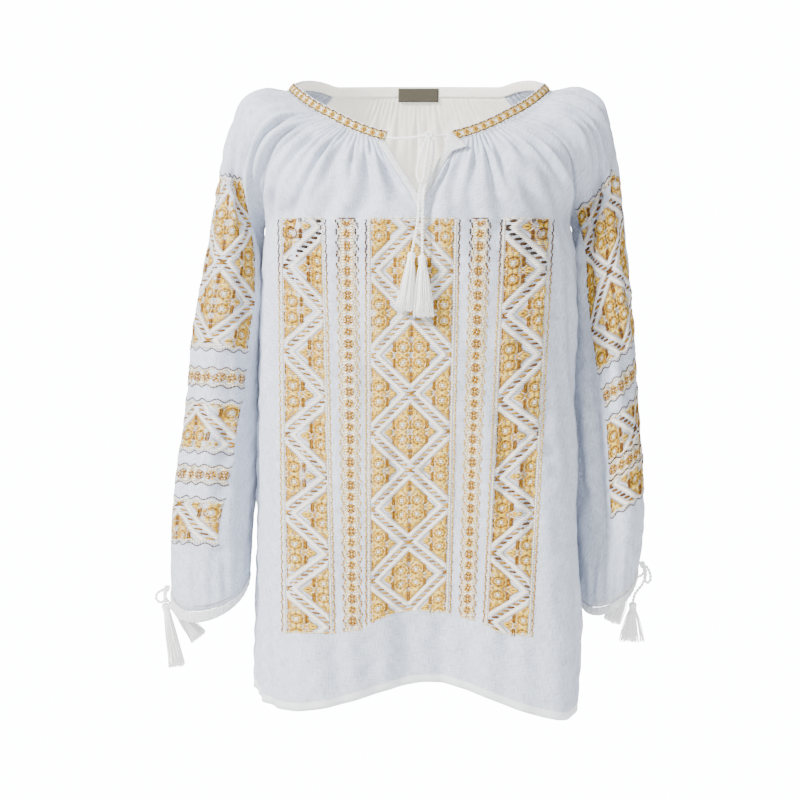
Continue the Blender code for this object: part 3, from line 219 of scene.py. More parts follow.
# How the sleeve's rows leave the raglan seam, and below it the under line
PullSection = namedtuple("PullSection", "level x front_y back_y z")
SLEEVE_PULL = table_of(PullSection, (
    (0.0, 0.03, 0.021, -0.018, 0.014), (0.25, 0.028, -0.004, 0.002, 0.012),
    (0.5, 0.028, -0.01, 0.01, 0.01), (0.75, 0.034, -0.012, 0.014, 0.004),
    (1.0, 0.042, -0.04, 0.04, -0.008), (1.05, 0.03, -0.047, 0.046, -0.006),
    (1.12, 0.014, -0.058, 0.057, 0.0), (1.25, 0.009, -0.064, 0.064, 0.0),
    (1.6, 0.009, -0.07, 0.07, 0.0), (1.9, 0.006, -0.066, 0.066, 0.0),
    (2.0, 0.002, -0.056, 0.056, 0.0),
))

# Large soft folds: across is -1 at the left seam, 0 at the middle, 1 at the right
Fold = namedtuple("Fold", "across width depth start full")
FRONT_FOLDS = table_of(Fold, (
    (-0.5, 0.2, 0.024, 1.25, 2.0), (0.6, 0.18, 0.026, 1.2, 2.0), (0.06, 0.24, -0.02, 1.3, 2.0),
    (-0.86, 0.05, -0.006, 0.75, 1.4), (-0.95, 0.04, 0.004, 1.0, 1.5),
    (0.88, 0.06, -0.007, 1.0, 1.6), (-0.22, 0.06, 0.005, 1.15, 1.9), (0.3, 0.06, 0.005, 1.15, 1.8),
))
BACK_FOLDS = table_of(Fold, (
    (-0.55, 0.16, 0.02, 1.1, 2.0), (0.48, 0.18, 0.022, 1.15, 2.0), (0.0, 0.18, -0.016, 1.2, 2.0),
    (-0.82, 0.08, -0.008, 1.0, 1.7), (0.8, 0.08, -0.008, 1.0, 1.7),
))
# On a sleeve across runs from -1 under the arm behind, over 0 at the ridge, to 1
SLEEVE_FOLDS = table_of(Fold, (
    (0.42, 0.12, 0.002, 0.1, 0.6), (0.66, 0.12, -0.003, 0.15, 0.8), (-0.45, 0.12, 0.002, 0.1, 0.7),
    (-0.68, 0.12, -0.003, 0.2, 0.9), (0.3, 0.1, -0.005, 1.2, 1.8), (0.55, 0.12, 0.006, 1.3, 1.9),
    (-0.35, 0.12, 0.006, 1.25, 1.9), (-0.6, 0.1, -0.005, 1.2, 1.8),
))

# How far the front and back hems hang below or above the plain hem line
HemDrop = namedtuple("HemDrop", "level drop")
FRONT_HEM = table_of(HemDrop, (
    (-1.0, 0.0), (-0.5, -0.01), (0.06, 0.016), (0.6, -0.022), (0.8, -0.014), (0.92, 0.006),
    (1.0, 0.022),
))
BACK_HEM = table_of(HemDrop, (
    (-1.0, 0.022), (-0.72, 0.008), (-0.4, -0.004), (0.0, 0.01), (0.5, -0.006), (1.0, 0.0),
))

# The facings down the slit: half widths from its middle line, and how far each
# edge stands off the cloth. The right one's top corner is turned out.
FacingRow = namedtuple("FacingRow", "level inner outer inner_lift outer_lift")
FACING_FOOT = table_of(FacingRow, (
    (0.35, 0.0158, 0.0246, 0.0, 0.0), (0.5, 0.0086, 0.0172, 0.0, 0.0),
    (0.66, 0.001, 0.0094, 0.0, 0.0), (0.7, 0.0002, 0.0078, 0.0, 0.0),
    (0.82, 0.0002, 0.0046, 0.0, 0.0), (0.96, 0.0002, 0.0011, 0.0, 0.0),
))
LEFT_FACING = table_of(FacingRow, (
    (0.0, 0.0325, 0.0415, 0.0, 0.0), (0.17, 0.0244, 0.0333, 0.0, 0.0),
)) + FACING_FOOT
RIGHT_FACING = table_of(FacingRow, (
    (-0.1, 0.031, 0.0345, 0.0056, 0.0058), (-0.01, 0.03, 0.041, 0.0048, 0.006),
    (0.055, 0.0285, 0.047, 0.0028, 0.0054), (0.12, 0.0268, 0.0525, 0.0018, 0.0048),
    (0.14, 0.0262, 0.0365, 0.0015, 0.0036), (0.23, 0.0216, 0.0302, 0.0004, 0.0014),
)) + FACING_FOOT

# The cords' middle lines as they hang
CORDS = {
    "neck_cord_left": (
        (-0.035, -0.103, -0.061), (-0.025, -0.1065, -0.062), (-0.01, -0.111, -0.0618),
        (0.002, -0.1128, -0.0602),
    ),
    "neck_cord_right": (
        (0.03, -0.1018, -0.0588), (0.0262, -0.1032, -0.0591), (0.0215, -0.107, -0.0594),
        (0.0168, -0.1114, -0.0595),
    ),
    "neck_loop": (
        (0.006, -0.1166, -0.0646), (0.002, -0.119, -0.076), (-0.0024, -0.1225, -0.093),
        (-0.003, -0.1255, -0.1025), (0.0004, -0.1275, -0.1085), (0.004, -0.1272, -0.103),
        (0.005, -0.1255, -0.092), (0.0078, -0.1215, -0.077), (0.0095, -0.1182, -0.0653),
    ),
    "neck_end_left": (
        (0.0098, -0.1132, -0.0653), (0.0085, -0.1145, -0.074), (0.0062, -0.118, -0.0883),
        (0.0038, -0.1225, -0.1036), (-0.0007, -0.1285, -0.119), (-0.002, -0.1322, -0.1452),
        (-0.0063, -0.1345, -0.1713), (-0.0084, -0.1354, -0.1808),
    ),
    "neck_end_right": (
        (0.0135, -0.114, -0.0648), (0.0145, -0.115, -0.074), (0.0126, -0.118, -0.0883),
        (0.0084, -0.123, -0.105), (0.004, -0.1285, -0.119), (0.0026, -0.1322, -0.1452),
        (0.0023, -0.1345, -0.1713), (0.0022, -0.1358, -0.1839),
    ),
    "cuff_left_loop": (
        (-0.2812, -0.0236, -0.5496), (-0.2862, -0.026, -0.5528), (-0.2872, -0.0275, -0.5582),
        (-0.2828, -0.0285, -0.5622), (-0.2782, -0.028, -0.56), (-0.277, -0.0255, -0.554),
    ),
    "cuff_left_end_a": (
        (-0.2782, -0.019, -0.5531), (-0.2785, -0.0215, -0.5575), (-0.278, -0.023, -0.5618),
    ),
    "cuff_left_end_b": (
        (-0.2795, -0.0135, -0.552), (-0.2798, -0.0085, -0.558), (-0.2772, -0.005, -0.5635),
        (-0.274, -0.004, -0.5666),
    ),
    "cuff_right_loop": (
        (0.249, -0.0268, -0.524), (0.252, -0.029, -0.531), (0.2522, -0.03, -0.5375),
        (0.249, -0.0305, -0.5405), (0.2462, -0.03, -0.537), (0.2455, -0.0275, -0.5268),
    ),
    "cuff_right_end_a": (
        (0.247, -0.0225, -0.5261), (0.2478, -0.0235, -0.533), (0.244, -0.024, -0.543),
        (0.2365, -0.0245, -0.553), (0.2342, -0.0245, -0.5605),
    ),
    "cuff_right_end_b": (
        (0.2478, -0.0175, -0.5245), (0.2475, -0.0135, -0.5305), (0.243, -0.012, -0.5355),
        (0.2365, -0.0125, -0.5375), (0.2306, -0.0135, -0.5398),
    ),
}

# Tassels: where the cord enters, where the skirt ends, and the skirt's half sizes
TasselPlace = namedtuple("TasselPlace", "top foot half_width half_depth")
TASSELS = {
    "neck_tassel_left": TasselPlace(
        (-0.0085, -0.1356, -0.1813), (-0.0172, -0.14, -0.244), 0.0092, 0.0062),
    "neck_tassel_right": TasselPlace(
        (0.0022, -0.136, -0.1844), (0.0034, -0.1405, -0.2505), 0.0104, 0.0062),
    "cuff_left_tassel_a": TasselPlace(
        (-0.2777, -0.0237, -0.5637), (-0.265, -0.0245, -0.635), 0.0085, 0.0075),
    "cuff_left_tassel_b": TasselPlace(
        (-0.2731, -0.0038, -0.5675), (-0.242, -0.004, -0.606), 0.0095, 0.0075),
    "cuff_right_tassel_a": TasselPlace(
        (0.2339, -0.0245, -0.5623), (0.2325, -0.025, -0.607), 0.013, 0.008),
    "cuff_right_tassel_b": TasselPlace(
        (0.2291, -0.0136, -0.5417), (0.212, -0.006, -0.588), 0.009, 0.007),
}


# Curves, tables and the half panels

def smooth_step(start, full, value):
    """Rises softly from 0 at the start to 1 where it is full."""
    share = np.clip((value - start) / (full - start), 0.0, 1.0)
    return share * share * (3.0 - 2.0 * share)


def curve_weights(t):
    """What two ends and the slopes at them weigh on a smooth curve between them."""
    return 2 * t**3 - 3 * t**2 + 1, 3 * t**2 - 2 * t**3, t**3 - 2 * t**2 + t, t**3 - t**2


def read_table(table, column, level):
    """One column of a section table, read at any level along a smooth curve."""
    levels = [row.level for row in table]
    values = [getattr(row, column) for row in table]
    last = len(levels) - 1
    k = 0
    while k < last - 1 and level > levels[k + 1]:
        k += 1

    def slope(i):
        low, high = max(i - 1, 0), min(i + 1, last)
        return (values[high] - values[low]) / (levels[high] - levels[low])

    span = levels[k + 1] - levels[k]
    t = (level - levels[k]) / span
    if t > 1.0:
        return values[last] + slope(last) * (level - levels[last])
    if t < 0.0:
        return values[0] + slope(0) * (level - levels[0])
    near, far, leaving, arriving = curve_weights(t)
    from_places = values[k] * near + values[k + 1] * far
    return from_places + span * (slope(k) * leaving + slope(k + 1) * arriving)


def read_places(table, columns, level):
    return np.array([read_table(table, column, level) for column in columns])


def cubic(points, t):
    """Places on a curve with four control points."""
    t = np.asarray(t)[..., None]
    s = 1.0 - t
    a, b, c, d = points
    return a * s**3 + b * (3 * s * s * t) + c * (3 * s * t * t) + d * t**3


def lengths_so_far(places):
    """How far each place lies along the line through all of them."""
    steps = np.linalg.norm(np.diff(places, axis=0), axis=1)
    return np.concatenate(((0.0,), np.cumsum(steps)))


def read_line(wanted, marks, places):
    """Places between those of a line, read at marks along it."""
    return np.stack([np.interp(wanted, marks, places[:, axis]) for axis in range(3)], axis=1)


class HalfPanel:
    """Half of a panel: rows from its seam (share 0) to its middle line (share 1)."""

    STEPS = np.linspace(0.0, 1.0, 49)
    MIDDLE_STEPS = 30

    def __init__(self, controls, folds, side, start=None):
        self.controls = controls
        self.folds = folds
        self.side = side
        self.start = start
        self.cache = {}

    def row(self, level):
        """The row's control points, its lengths so far, and where its cloth ends."""
        if level not in self.cache:
            points = self.controls(level)
            places = cubic(points, self.STEPS)
            lengths = lengths_so_far(places)
            self.cache[level] = (points, places, lengths, lengths[-1])
            if self.start is not None and self.start(level) > 0.0:
                reach = self.length_to(level, self.start(level))
                self.cache[level] = (points, places, lengths, reach)
        return self.cache[level]

    def length_to(self, level, half_width):
        """Length along the row from its seam to a half width from its middle line."""
        _, places, lengths, _ = self.row(level)
        away = np.abs(places[:, 0] - places[-1, 0])
        near = slice(None, -self.MIDDLE_STEPS - 1, -1)
        return float(np.interp(half_width, away[near], lengths[near]))

    def place_at(self, level, wanted):
        points, _, lengths, _ = self.row(level)
        return cubic(points, np.interp(wanted, lengths, self.STEPS))

    def point(self, level, share):
        return self.place_at(level, np.clip(share, 0.0, 1.0) * self.row(level)[3])

    def point_near_middle(self, level, half_width):
        return self.place_at(level, self.length_to(level, half_width))

    def fold_depth(self, levels, shares):
        """How far the large folds push the cloth out."""
        across = self.side * (shares - 1.0)
        depth = 0.0
        for fold in self.folds:
            bell = np.exp(-(((across - fold.across) / fold.width) ** 2))
            depth = depth + fold.depth * bell * smooth_step(fold.start, fold.full, levels)
        return depth * smooth_step(0.0, 0.10, shares)


def body_seam(table, side, level):
    """A place on the seam between the body and a sleeve, or at the body's side."""
    seam = read_places(table, ("seam_x", "seam_y", "seam_z"), level)
    if side == LEFT:
        seam[0] += LEFT_SPREAD * smooth_step(0.6, 2.0, level)
    return seam


def body_controls(table, side):
    """Rows of half the front or the back."""
    def controls(level):
        seam = body_seam(table, side, level)
        pull = read_places(table, ("pull_x", "pull_y", "pull_z"), level)
        middle = np.array((0.0, *read_places(table, ("middle_y", "middle_z"), level)))
        reach = np.array((read_table(table, "reach", level), 0.0, 0.0))
        row = np.array((seam, seam + pull, middle + reach, middle))
        row[:, 0] *= side
        row[2:, 0] += SLIT_X * (1.0 - smooth_step(0.0, 1.6, level))
        return row
    return controls


def sleeve_controls(ridge, under, side, facing):
    """Rows of half a sleeve; facing is -1 for its front half and 1 for its back."""
    body = FRONT_SECTIONS if facing < 0 else BACK_SECTIONS
    pull_y = "front_y" if facing < 0 else "back_y"

    def controls(level):
        if level < 1.0:
            seam = body_seam(body, side, level)
        else:
            seam = read_places(under, "xyz", level)
        pull = read_places(SLEEVE_PULL, ("x", pull_y, "z"), level)
        top = read_places(ridge, "xyz", level)
        reach = np.array((0.0, facing * read_table(ridge, "reach", level), 0.0))
        dip = read_table(ridge, "dip", level) if level > 1.6 else 0.0
        drop = np.array((0.0, 0.0, dip if facing < 0 else -0.3 * dip))
        row = np.array((seam, seam + pull + drop, top + reach + drop, top))
        row[:, 0] *= side
        return row
    return controls


def notch_half_width(level):
    """The front's slit is cut just wide of its facings."""
    if level >= 1.0:
        return 0.0
    return read_table(LEFT_FACING, "outer", level) + REST_GAP


def all_halves():
    """The half panels of the body and the sleeves, by name."""
    halves = {}
    for name, side, turn in (("left", LEFT, 1), ("right", RIGHT, -1)):
        ridge, under = (LEFT_RIDGE, LEFT_UNDER) if side == LEFT else (RIGHT_RIDGE, RIGHT_UNDER)
        for part, controls, folds, way in (
            (f"front_{name}", body_controls(FRONT_SECTIONS, side), FRONT_FOLDS, 1),
            (f"back_{name}", body_controls(BACK_SECTIONS, side), BACK_FOLDS, -1),
            (f"sleeve_{name}_back", sleeve_controls(ridge, under, side, 1), SLEEVE_FOLDS, 1),
            (f"sleeve_{name}_front", sleeve_controls(ridge, under, side, -1), SLEEVE_FOLDS, -1),
        ):
            start = notch_half_width if part.startswith("front") else None
            halves[part] = HalfPanel(controls, folds, turn * way, start)
    return halves


HALVES = all_halves()


def ripples(along, down, seed, size):
    """A smooth field without a grain, from -1 to 1, for soft creases."""
    chance = np.random.default_rng(seed)
    total = 0.0
    for _ in range(11):
        turn = chance.uniform(0.0, 2.0 * math.pi)
        pace = 2.0 * math.pi / size * chance.uniform(0.6, 1.5)
        shift = chance.uniform(0.0, 2.0 * math.pi)
        total = total + np.sin(pace * (along * math.cos(turn) + down * math.sin(turn)) + shift)
    return total / 5.0


# Meshes

def place_object(name, data, materials=()):
    """A new object at the origin of the scene, with its materials."""
    for kind in materials:
        data.materials.append(material(kind))
    piece = bpy.data.objects.new(name, data)
    bpy.context.scene.collection.objects.link(piece)
    return piece


def make_piece(name, points, faces, *materials):
    """A finished piece at the origin that rides on the blouse."""
    mesh = bpy.data.meshes.new(name)
    mesh.from_pydata([tuple(p) for p in points], [], faces)
    mesh.update()
    mesh.polygons.foreach_set("use_smooth", [True] * len(mesh.polygons))
    piece = place_object(name, mesh, materials)
    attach(piece, "root")
    return piece


def apply_modifiers(piece):
    """Turns what the modifiers make into the piece's own mesh."""
    graph = bpy.context.evaluated_depsgraph_get()
    mesh = bpy.data.meshes.new_from_object(piece.evaluated_get(graph))
    old = piece.data
    piece.modifiers.clear()
    piece.data = mesh
    bpy.data.meshes.remove(old)


def face_outwards(piece):
    shape = bmesh.new()
    shape.from_mesh(piece.data)
    bmesh.ops.recalc_face_normals(shape, faces=shape.faces)
    shape.to_mesh(piece.data)
    shape.free()


def unit(rows):
    return rows / np.linalg.norm(rows, axis=-1, keepdims=True)


def grid_normals(grid):
    """Unit normals of a grid of places, from its neighbours along and down."""
    down = np.gradient(grid, axis=0)
    along = np.gradient(grid, axis=1)
    normals = np.cross(down, along)
    length = np.linalg.norm(normals, axis=-1, keepdims=True)
    return normals / np.maximum(length, 1e-12)


class Cloth:
    """A grid of cloth places with its own flat measure, along and down."""

    def __init__(self, grid, backwards=False):
        self.grid = grid
        self.backwards = backwards
        along = np.linalg.norm(np.diff(grid, axis=1), axis=2)
        down = np.linalg.norm(np.diff(grid, axis=0), axis=2)
        self.along = np.concatenate((np.zeros((len(grid), 1)), np.cumsum(along, axis=1)), axis=1)
        self.down = np.concatenate((np.zeros((1, grid.shape[1])), np.cumsum(down, axis=0)), axis=0)


def grid_faces(first, rows, columns):
    for start in range(first, first + (rows - 1) * columns, columns):
        for corner in range(start, start + columns - 1):
            yield corner, corner + columns, corner + columns + 1, corner + 1


def weld_cloth(name, cloths, wall, materials, hem_width=0.0):
    """One sheet of cloth from grids that share borders, with its wall and its flat map."""
    points, faces, flat, hems = [], [], [], []
    for cloth in cloths:
        faces += grid_faces(len(points), *cloth.grid.shape[:2])
        points += cloth.grid.reshape(-1, 3).tolist()
        middle = cloth.along[:, -1:] if cloth.backwards else 0.0
        across = cloth.along - middle
        flat += np.stack((across, -cloth.down), axis=-1).reshape(-1, 2).tolist()
        hems += (cloth.down[-1:, :] - cloth.down).reshape(-1).tolist()
    shape = bmesh.new()
    uv_layer = shape.loops.layers.uv.new("Flat")
    hem_layer = shape.verts.layers.float.new("hem")
    corners = [shape.verts.new(p) for p in points]
    for corner, left in zip(corners, hems):
        corner[hem_layer] = max(-1.0, 1.5 - left / hem_width) if hem_width else 0.0
    for face in faces:
        made = shape.faces.new([corners[k] for k in face])
        made.smooth = True
        for loop, k in zip(made.loops, face):
            loop[uv_layer].uv = flat[k]
    bmesh.ops.remove_doubles(shape, verts=shape.verts, dist=WELD_GAP)
    mesh = bpy.data.meshes.new(name)
    shape.to_mesh(mesh)
    shape.free()
    piece = place_object(name, mesh, materials)
    thick = piece.modifiers.new("Wall", "SOLIDIFY")
    thick.thickness = wall
    thick.offset = 0.0
    thick.use_even_offset = False
    thick.use_rim = True
    if len(materials) > 1:
        thick.material_offset = 1
    apply_modifiers(piece)
    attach(piece, "root")
    return piece


# Materials

class Wire:
    """A socket in a material, whose sums and products become Math nodes."""

    def __init__(self, recipe, socket):
        self.recipe = recipe
        self.socket = socket

    def _math(self, operation, other):
        return self.recipe.node("ShaderNodeMath", {"operation": operation}, {0: self, 1: other})

    def __add__(self, other):
        return self._math("ADD", other)

    def __mul__(self, other):
        return self._math("MULTIPLY", other)


class Recipe:
    """A material with a Principled shader, built node by node."""

    def __init__(self, name, roughness, sheen=0.0, glow=0.0, tint=(1.0, 1.0, 1.0)):
        self.material = bpy.data.materials.new(name)
        self.material.use_nodes = True
        self.tree = self.material.node_tree
        self.tree.nodes.clear()
        self.shader = self.tree.nodes.new("ShaderNodeBsdfPrincipled")
        self.shader.inputs["Roughness"].default_value = roughness
        self.shader.inputs["Sheen Weight"].default_value = sheen
        self.shader.inputs["Specular IOR Level"].default_value = 0.25
        self.shader.inputs["Emission Color"].default_value = (*tint, 1.0)
        self.shader.inputs["Emission Strength"].default_value = glow
        output = self.tree.nodes.new("ShaderNodeOutputMaterial")
        self.tree.links.new(self.shader.outputs["BSDF"], output.inputs["Surface"])

    def node(self, kind, settings=None, values=None, out=0):
        made = self.tree.nodes.new(kind)
        for key, value in (settings or {}).items():
            if key == "stops":
                ramp = made.color_ramp
                while len(ramp.elements) < len(value):
                    ramp.elements.new(1.0)
                for element, (place, colour) in zip(ramp.elements, value):
                    element.position = place
                    element.color = (*colour, 1.0)
            else:
                setattr(made, key, value)
        for key, value in (values or {}).items():
            self.feed(made.inputs[key], value)
        return Wire(self, made.outputs[out])

    def feed(self, socket, value):
        if isinstance(value, Wire):
            self.tree.links.new(value.socket, socket)
        elif socket.type == "RGBA":
            socket.default_value = (*value, 1.0)
        else:
            socket.default_value = value

    def noise(self, source, scale, detail=2.0):
        """Noise over a coordinate that is stretched along its axes."""
        place = self.node("ShaderNodeMapping", {}, {"Vector": source, "Scale": scale})
        return self.node("ShaderNodeTexNoise", {}, {"Vector": place, "Detail": detail})

    def wave(self, source, direction, scale, distortion):
        return self.node(
            "ShaderNodeTexWave", {"bands_direction": direction},
            {"Vector": source, "Scale": scale, "Distortion": distortion})

    def flat(self):
        """The cloth's own map, in metres along and down it."""
        return self.node("ShaderNodeUVMap", {"uv_map": "Flat"})

    def place(self):
        return self.node("ShaderNodeTexCoord", out=3)

    def carried(self, name):
        """A number that the piece carries, such as a stitch's tone."""
        return self.node("ShaderNodeAttribute", {"attribute_name": name}, out=2)

    def blend(self, share, first, second):
        return self.node(
            "ShaderNodeMix", {"data_type": "RGBA"}, {0: share, 6: first, 7: second}, out=2)

    def colour(self, value):
        self.feed(self.shader.inputs["Base Color"], value)

    def raise_by(self, height, distance, strength=0.6):
        bump = self.node(
            "ShaderNodeBump", {}, {"Height": height, "Distance": distance, "Strength": strength})
        self.feed(self.shader.inputs["Normal"], bump)


def times(colour, share):
    return tuple(share * value for value in colour)


def linen_material(name, tint, doubled=None, glow=0.0):
    """Plain-woven linen: crossed threads, some thicker; glow is painted light, an emission that
    brightens cloth lying in shade.
    """
    recipe = Recipe(name, 0.9, 0.05, glow, tint)
    flat = recipe.flat()
    upright, level = recipe.noise(flat, (320, 20, 1)), recipe.noise(flat, (20, 320, 1))
    warp, weft = recipe.wave(flat, "X", 320.0, 0.4), recipe.wave(flat, "Y", 320.0, 0.4)
    cloud = recipe.noise(flat, (26, 26, 1), 3.0)
    slubs = (upright + level) * 0.5
    shade = recipe.node(
        "ShaderNodeMapRange", {}, {"Value": slubs, "From Min": 0.38, "From Max": 0.58})
    cloth = recipe.blend(shade, times(tint, 0.50), tint)
    bright = tuple(min(1.0, value) for value in times(tint, 1.05))
    cloth = recipe.blend(cloud * 0.35, cloth, bright)
    if doubled is not None:
        hem = recipe.node(
            "ShaderNodeMapRange", {},
            {"Value": recipe.carried("hem"), "From Min": 0.44, "From Max": 0.54})
        cloth = recipe.blend(hem * 0.85, cloth, doubled)
    recipe.colour(cloth)
    recipe.raise_by(slubs * 0.7 + (warp + weft) * 0.3, 0.8 * MM, 0.7)
    return recipe.material


def thread_material(name):
    """Silk embroidery thread; each stitch carries its own tone."""
    shades = colours()
    recipe = Recipe(name, 0.5)
    ramp = recipe.node("ShaderNodeValToRGB", {"stops": (
        (WHITE, shades.thread_white), (LIGHT, shades.thread_light), (GOLD, shades.thread_gold),
        (BROWN, shades.thread_brown), (DARK, shades.thread_dark),
    )}, {"Fac": recipe.carried("tone")})
    plies = recipe.noise(recipe.place(), (700, 700, 700))
    recipe.colour(recipe.blend(plies * 0.10, ramp, times(shades.thread_gold, 0.5)))
    recipe.raise_by(plies, 0.3 * MM, 0.5)
    return recipe.material


def cord_material(name, tint):
    """Soft cotton cord with fine fibres."""
    # The glow is painted light: an emission that brightens the cords, knots and tassels.
    recipe = Recipe(name, 0.8, 0.2, 0.35, tint)
    fibres = recipe.noise(recipe.place(), (900, 900, 260), 3.0)
    recipe.colour(recipe.blend(fibres, times(tint, 0.82), tint))
    recipe.raise_by(fibres, 0.4 * MM, 0.6)
    return recipe.material


def label_material(name, tint):
    """Close satin weave of a blank woven label."""
    recipe = Recipe(name, 0.85)
    flat = recipe.flat()
    rows, grain = recipe.wave(flat, "Y", 420.0, 0.6), recipe.noise(flat, (120, 900, 1))
    mix = rows * 0.5 + grain * 0.5
    recipe.colour(recipe.blend(mix, times(tint, 0.7), times(tint, 1.25)))
    recipe.raise_by(mix, 0.3 * MM, 0.5)
    return recipe.material


def floor_material(name):
    """Pale paper that lights itself a little."""
    recipe = Recipe(name, 0.9, glow=1.6)
    grain = recipe.noise(recipe.place(), (3, 3, 3))
    recipe.colour(recipe.blend(grain, (0.90, 0.90, 0.90), (0.94, 0.94, 0.94)))
    return recipe.material


MATERIALS = {
    # The outer linen's colour holds painted blue-grey shade over the white cloth
    "linen": lambda name: linen_material(name, tuple(colours().linen), tuple(colours().hem)),
    # The inside linen glows with painted light that brightens the shaded inside of the back and of
    # the band.
    "linen_inside": lambda name: linen_material(name, tuple(colours().linen_inside), glow=0.85),
    "linen_doubled": lambda name: linen_material(name, tuple(colours().hem)),
    "silk_thread": thread_material,
    "cotton_cord": lambda name: cord_material(name, tuple(colours().cord)),
    "label_weave": lambda name: label_material(name, tuple(colours().label)),
}


def material(kind):
    """The material of a kind, made when it is first asked for."""
    name = f"blouse_{kind}"
    return bpy.data.materials.get(name) or MATERIALS[kind](name)


# Cords: a two-ply twist along a smooth way

def spread_evenly(places, segments):
    """Places at even distances along the line through the given ones."""
    lengths = lengths_so_far(places)
    return read_line(np.linspace(0.0, lengths[-1], segments + 1), lengths, places)


def smooth_way(places, step):
    """Even places along a smooth curve through the given ones, and its length."""
    places = [Vector(place) for place in places]
    last = len(places) - 1
    fine = []
    for k in range(last):
        before, after = places[max(k - 1, 0)], places[min(k + 2, last)]
        here, there = places[k], places[k + 1]
        for number in range(10):
            near, far, leaving, arriving = curve_weights(number / 10)
            fine.append(
                here * near + there * far
                + (there - before) * (0.5 * leaving) + (after - here) * (0.5 * arriving))
    run = np.array([tuple(place) for place in (*fine, places[-1])])
    length = float(lengths_so_far(run)[-1])
    return spread_evenly(run, max(3, int(round(length / step)))), length


def carried_frames(way):
    """Directions along a way, with a side and an upper side that don't turn about it."""
    ahead = unit(np.gradient(way, axis=0))
    side = np.zeros_like(way)
    side[0] = Vector(ahead[0]).orthogonal().normalized()
    for k in range(1, len(way)):
        turned = side[k - 1] - ahead[k] * np.dot(side[k - 1], ahead[k])
        side[k] = turned / np.linalg.norm(turned)
    return ahead, side, np.cross(ahead, side)


def ring_faces(first, rings, sides):
    """The side and both ends of a closed tube of rings."""
    for k in range(first, first + (rings - 1) * sides, sides):
        for s in range(sides):
            a, b = k + s, k + (s + 1) % sides
            yield a, b, b + sides, a + sides
    last = first + (rings - 1) * sides
    yield tuple(first + s for s in reversed(range(sides)))
    yield tuple(last + s for s in range(sides))


def tube(way, side, over, radius, sides, points, faces):
    """Adds a closed tube round a way to a mesh that is being made."""
    faces += ring_faces(len(points), len(way), sides)
    for place, one, two in zip(way, side, over):
        for turn in TURN * np.arange(sides) / sides:
            points.append(place + (one * math.cos(turn) + two * math.sin(turn)) * radius)


def twist(way, diameter, points, faces, sides=7, lay=2.6):
    """Two plies that wind round each other along a way."""
    _, side, over = carried_frames(way)
    turn = (TURN / (lay * diameter) * lengths_so_far(way))[:, None]
    out = side * np.cos(turn) + over * np.sin(turn)
    for ply in (1.0, -1.0):
        tube(way + out * (ply * 0.25 * diameter), side, over, 0.32 * diameter, sides, points, faces)


def tassel_axis(place):
    """Where a tassel starts and ends, and which way it hangs."""
    top, foot = Vector(place.top), Vector(place.foot)
    return top, foot, (foot - top).normalized()


CordRun = namedtuple("CordRun", "name nodes knot tassel")
CORD_RUNS = table_of(CordRun, (
    ("neck_cord_a", ("neck_cord_left", "neck_loop", "neck_end_left"), "neck_knot",
     "neck_tassel_left"),
    ("neck_cord_b", ("neck_cord_right", "neck_end_right"), "neck_knot", "neck_tassel_right"),
    *((f"cuff_{side}_cord_{end}", (*loop, f"cuff_{side}_end_{end}"), f"cuff_{side}_knot",
       f"cuff_{side}_tassel_{end}")
      for side in ("left", "right") for end, loop in (("a", (f"cuff_{side}_loop",)), ("b", ()))),
))
# How far a cord's middle line runs on into its knot and its tassel
INTO_KNOT = 0.35
TASSEL_HEAD = 2.0 * MM
TASSEL_SKIRT = 52.0 * MM


def cord_way(runs, knot, tassel):
    """The places that a drawstring passes, through its knot and into its tassel's head."""
    low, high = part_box(knot)
    middle = 0.5 * (Vector(low) + Vector(high))
    places = []
    for number, name in enumerate(runs):
        stretch = [Vector(place) for place in CORDS[name]]
        if number > 0 or not name.startswith("neck"):
            places.append(middle.lerp(stretch[0], INTO_KNOT))
        places += stretch
        if number + 1 < len(runs):
            places.append(middle.lerp(stretch[-1], INTO_KNOT))
    top, foot, down = tassel_axis(TASSELS[tassel])
    core = max(9.0 * MM, (foot - top).length - TASSEL_SKIRT)
    return places + [top + down * TASSEL_HEAD, top + down * core]


def make_knot(name, cord):
    """An overhand knot pulled tight: a trefoil of the same two-ply cord."""
    low, high = (Vector(corner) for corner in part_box(name))
    middle, half = 0.5 * (low + high), 0.5 * (high - low)
    t = np.linspace(0.0, TURN, 97)
    shape = np.stack((
        (np.sin(t) + 2.0 * np.sin(2.0 * t)) / 3.0,
        -np.sin(3.0 * t) * 0.8,
        (np.cos(t) - 2.0 * np.cos(2.0 * t)) / 3.0,
    ), axis=1)
    room = np.array([max(extent - 0.5 * cord, 0.4 * cord) for extent in half])
    way = np.array(middle) + shape * room
    points, faces = [], []
    twist(way[:-1], 0.92 * cord, points, faces, sides=6)
    piece = make_piece(name + "_tied", points, faces, "cotton_cord")
    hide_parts(name)
    return piece


# A tassel's bound head: distance down the cord and radius, in millimetres
HEAD_RINGS = (
    (0.0, 1.2), (0.4, 2.4), (1.2, 3.5), (2.6, 4.2), (4.2, 4.35), (5.6, 4.1), (6.5, 3.6), (6.8, 3.95),
    (7.3, 4.1), (7.8, 3.95), (8.1, 3.7), (8.4, 4.0), (8.9, 4.1), (9.3, 3.8), (9.6, 3.2),
)
HEAD_SIDES = 28
RIBBED_DOWN_TO = 6.6
SKIRT_START = 8.6 * MM
GOLDEN_ANGLE = 2.399963


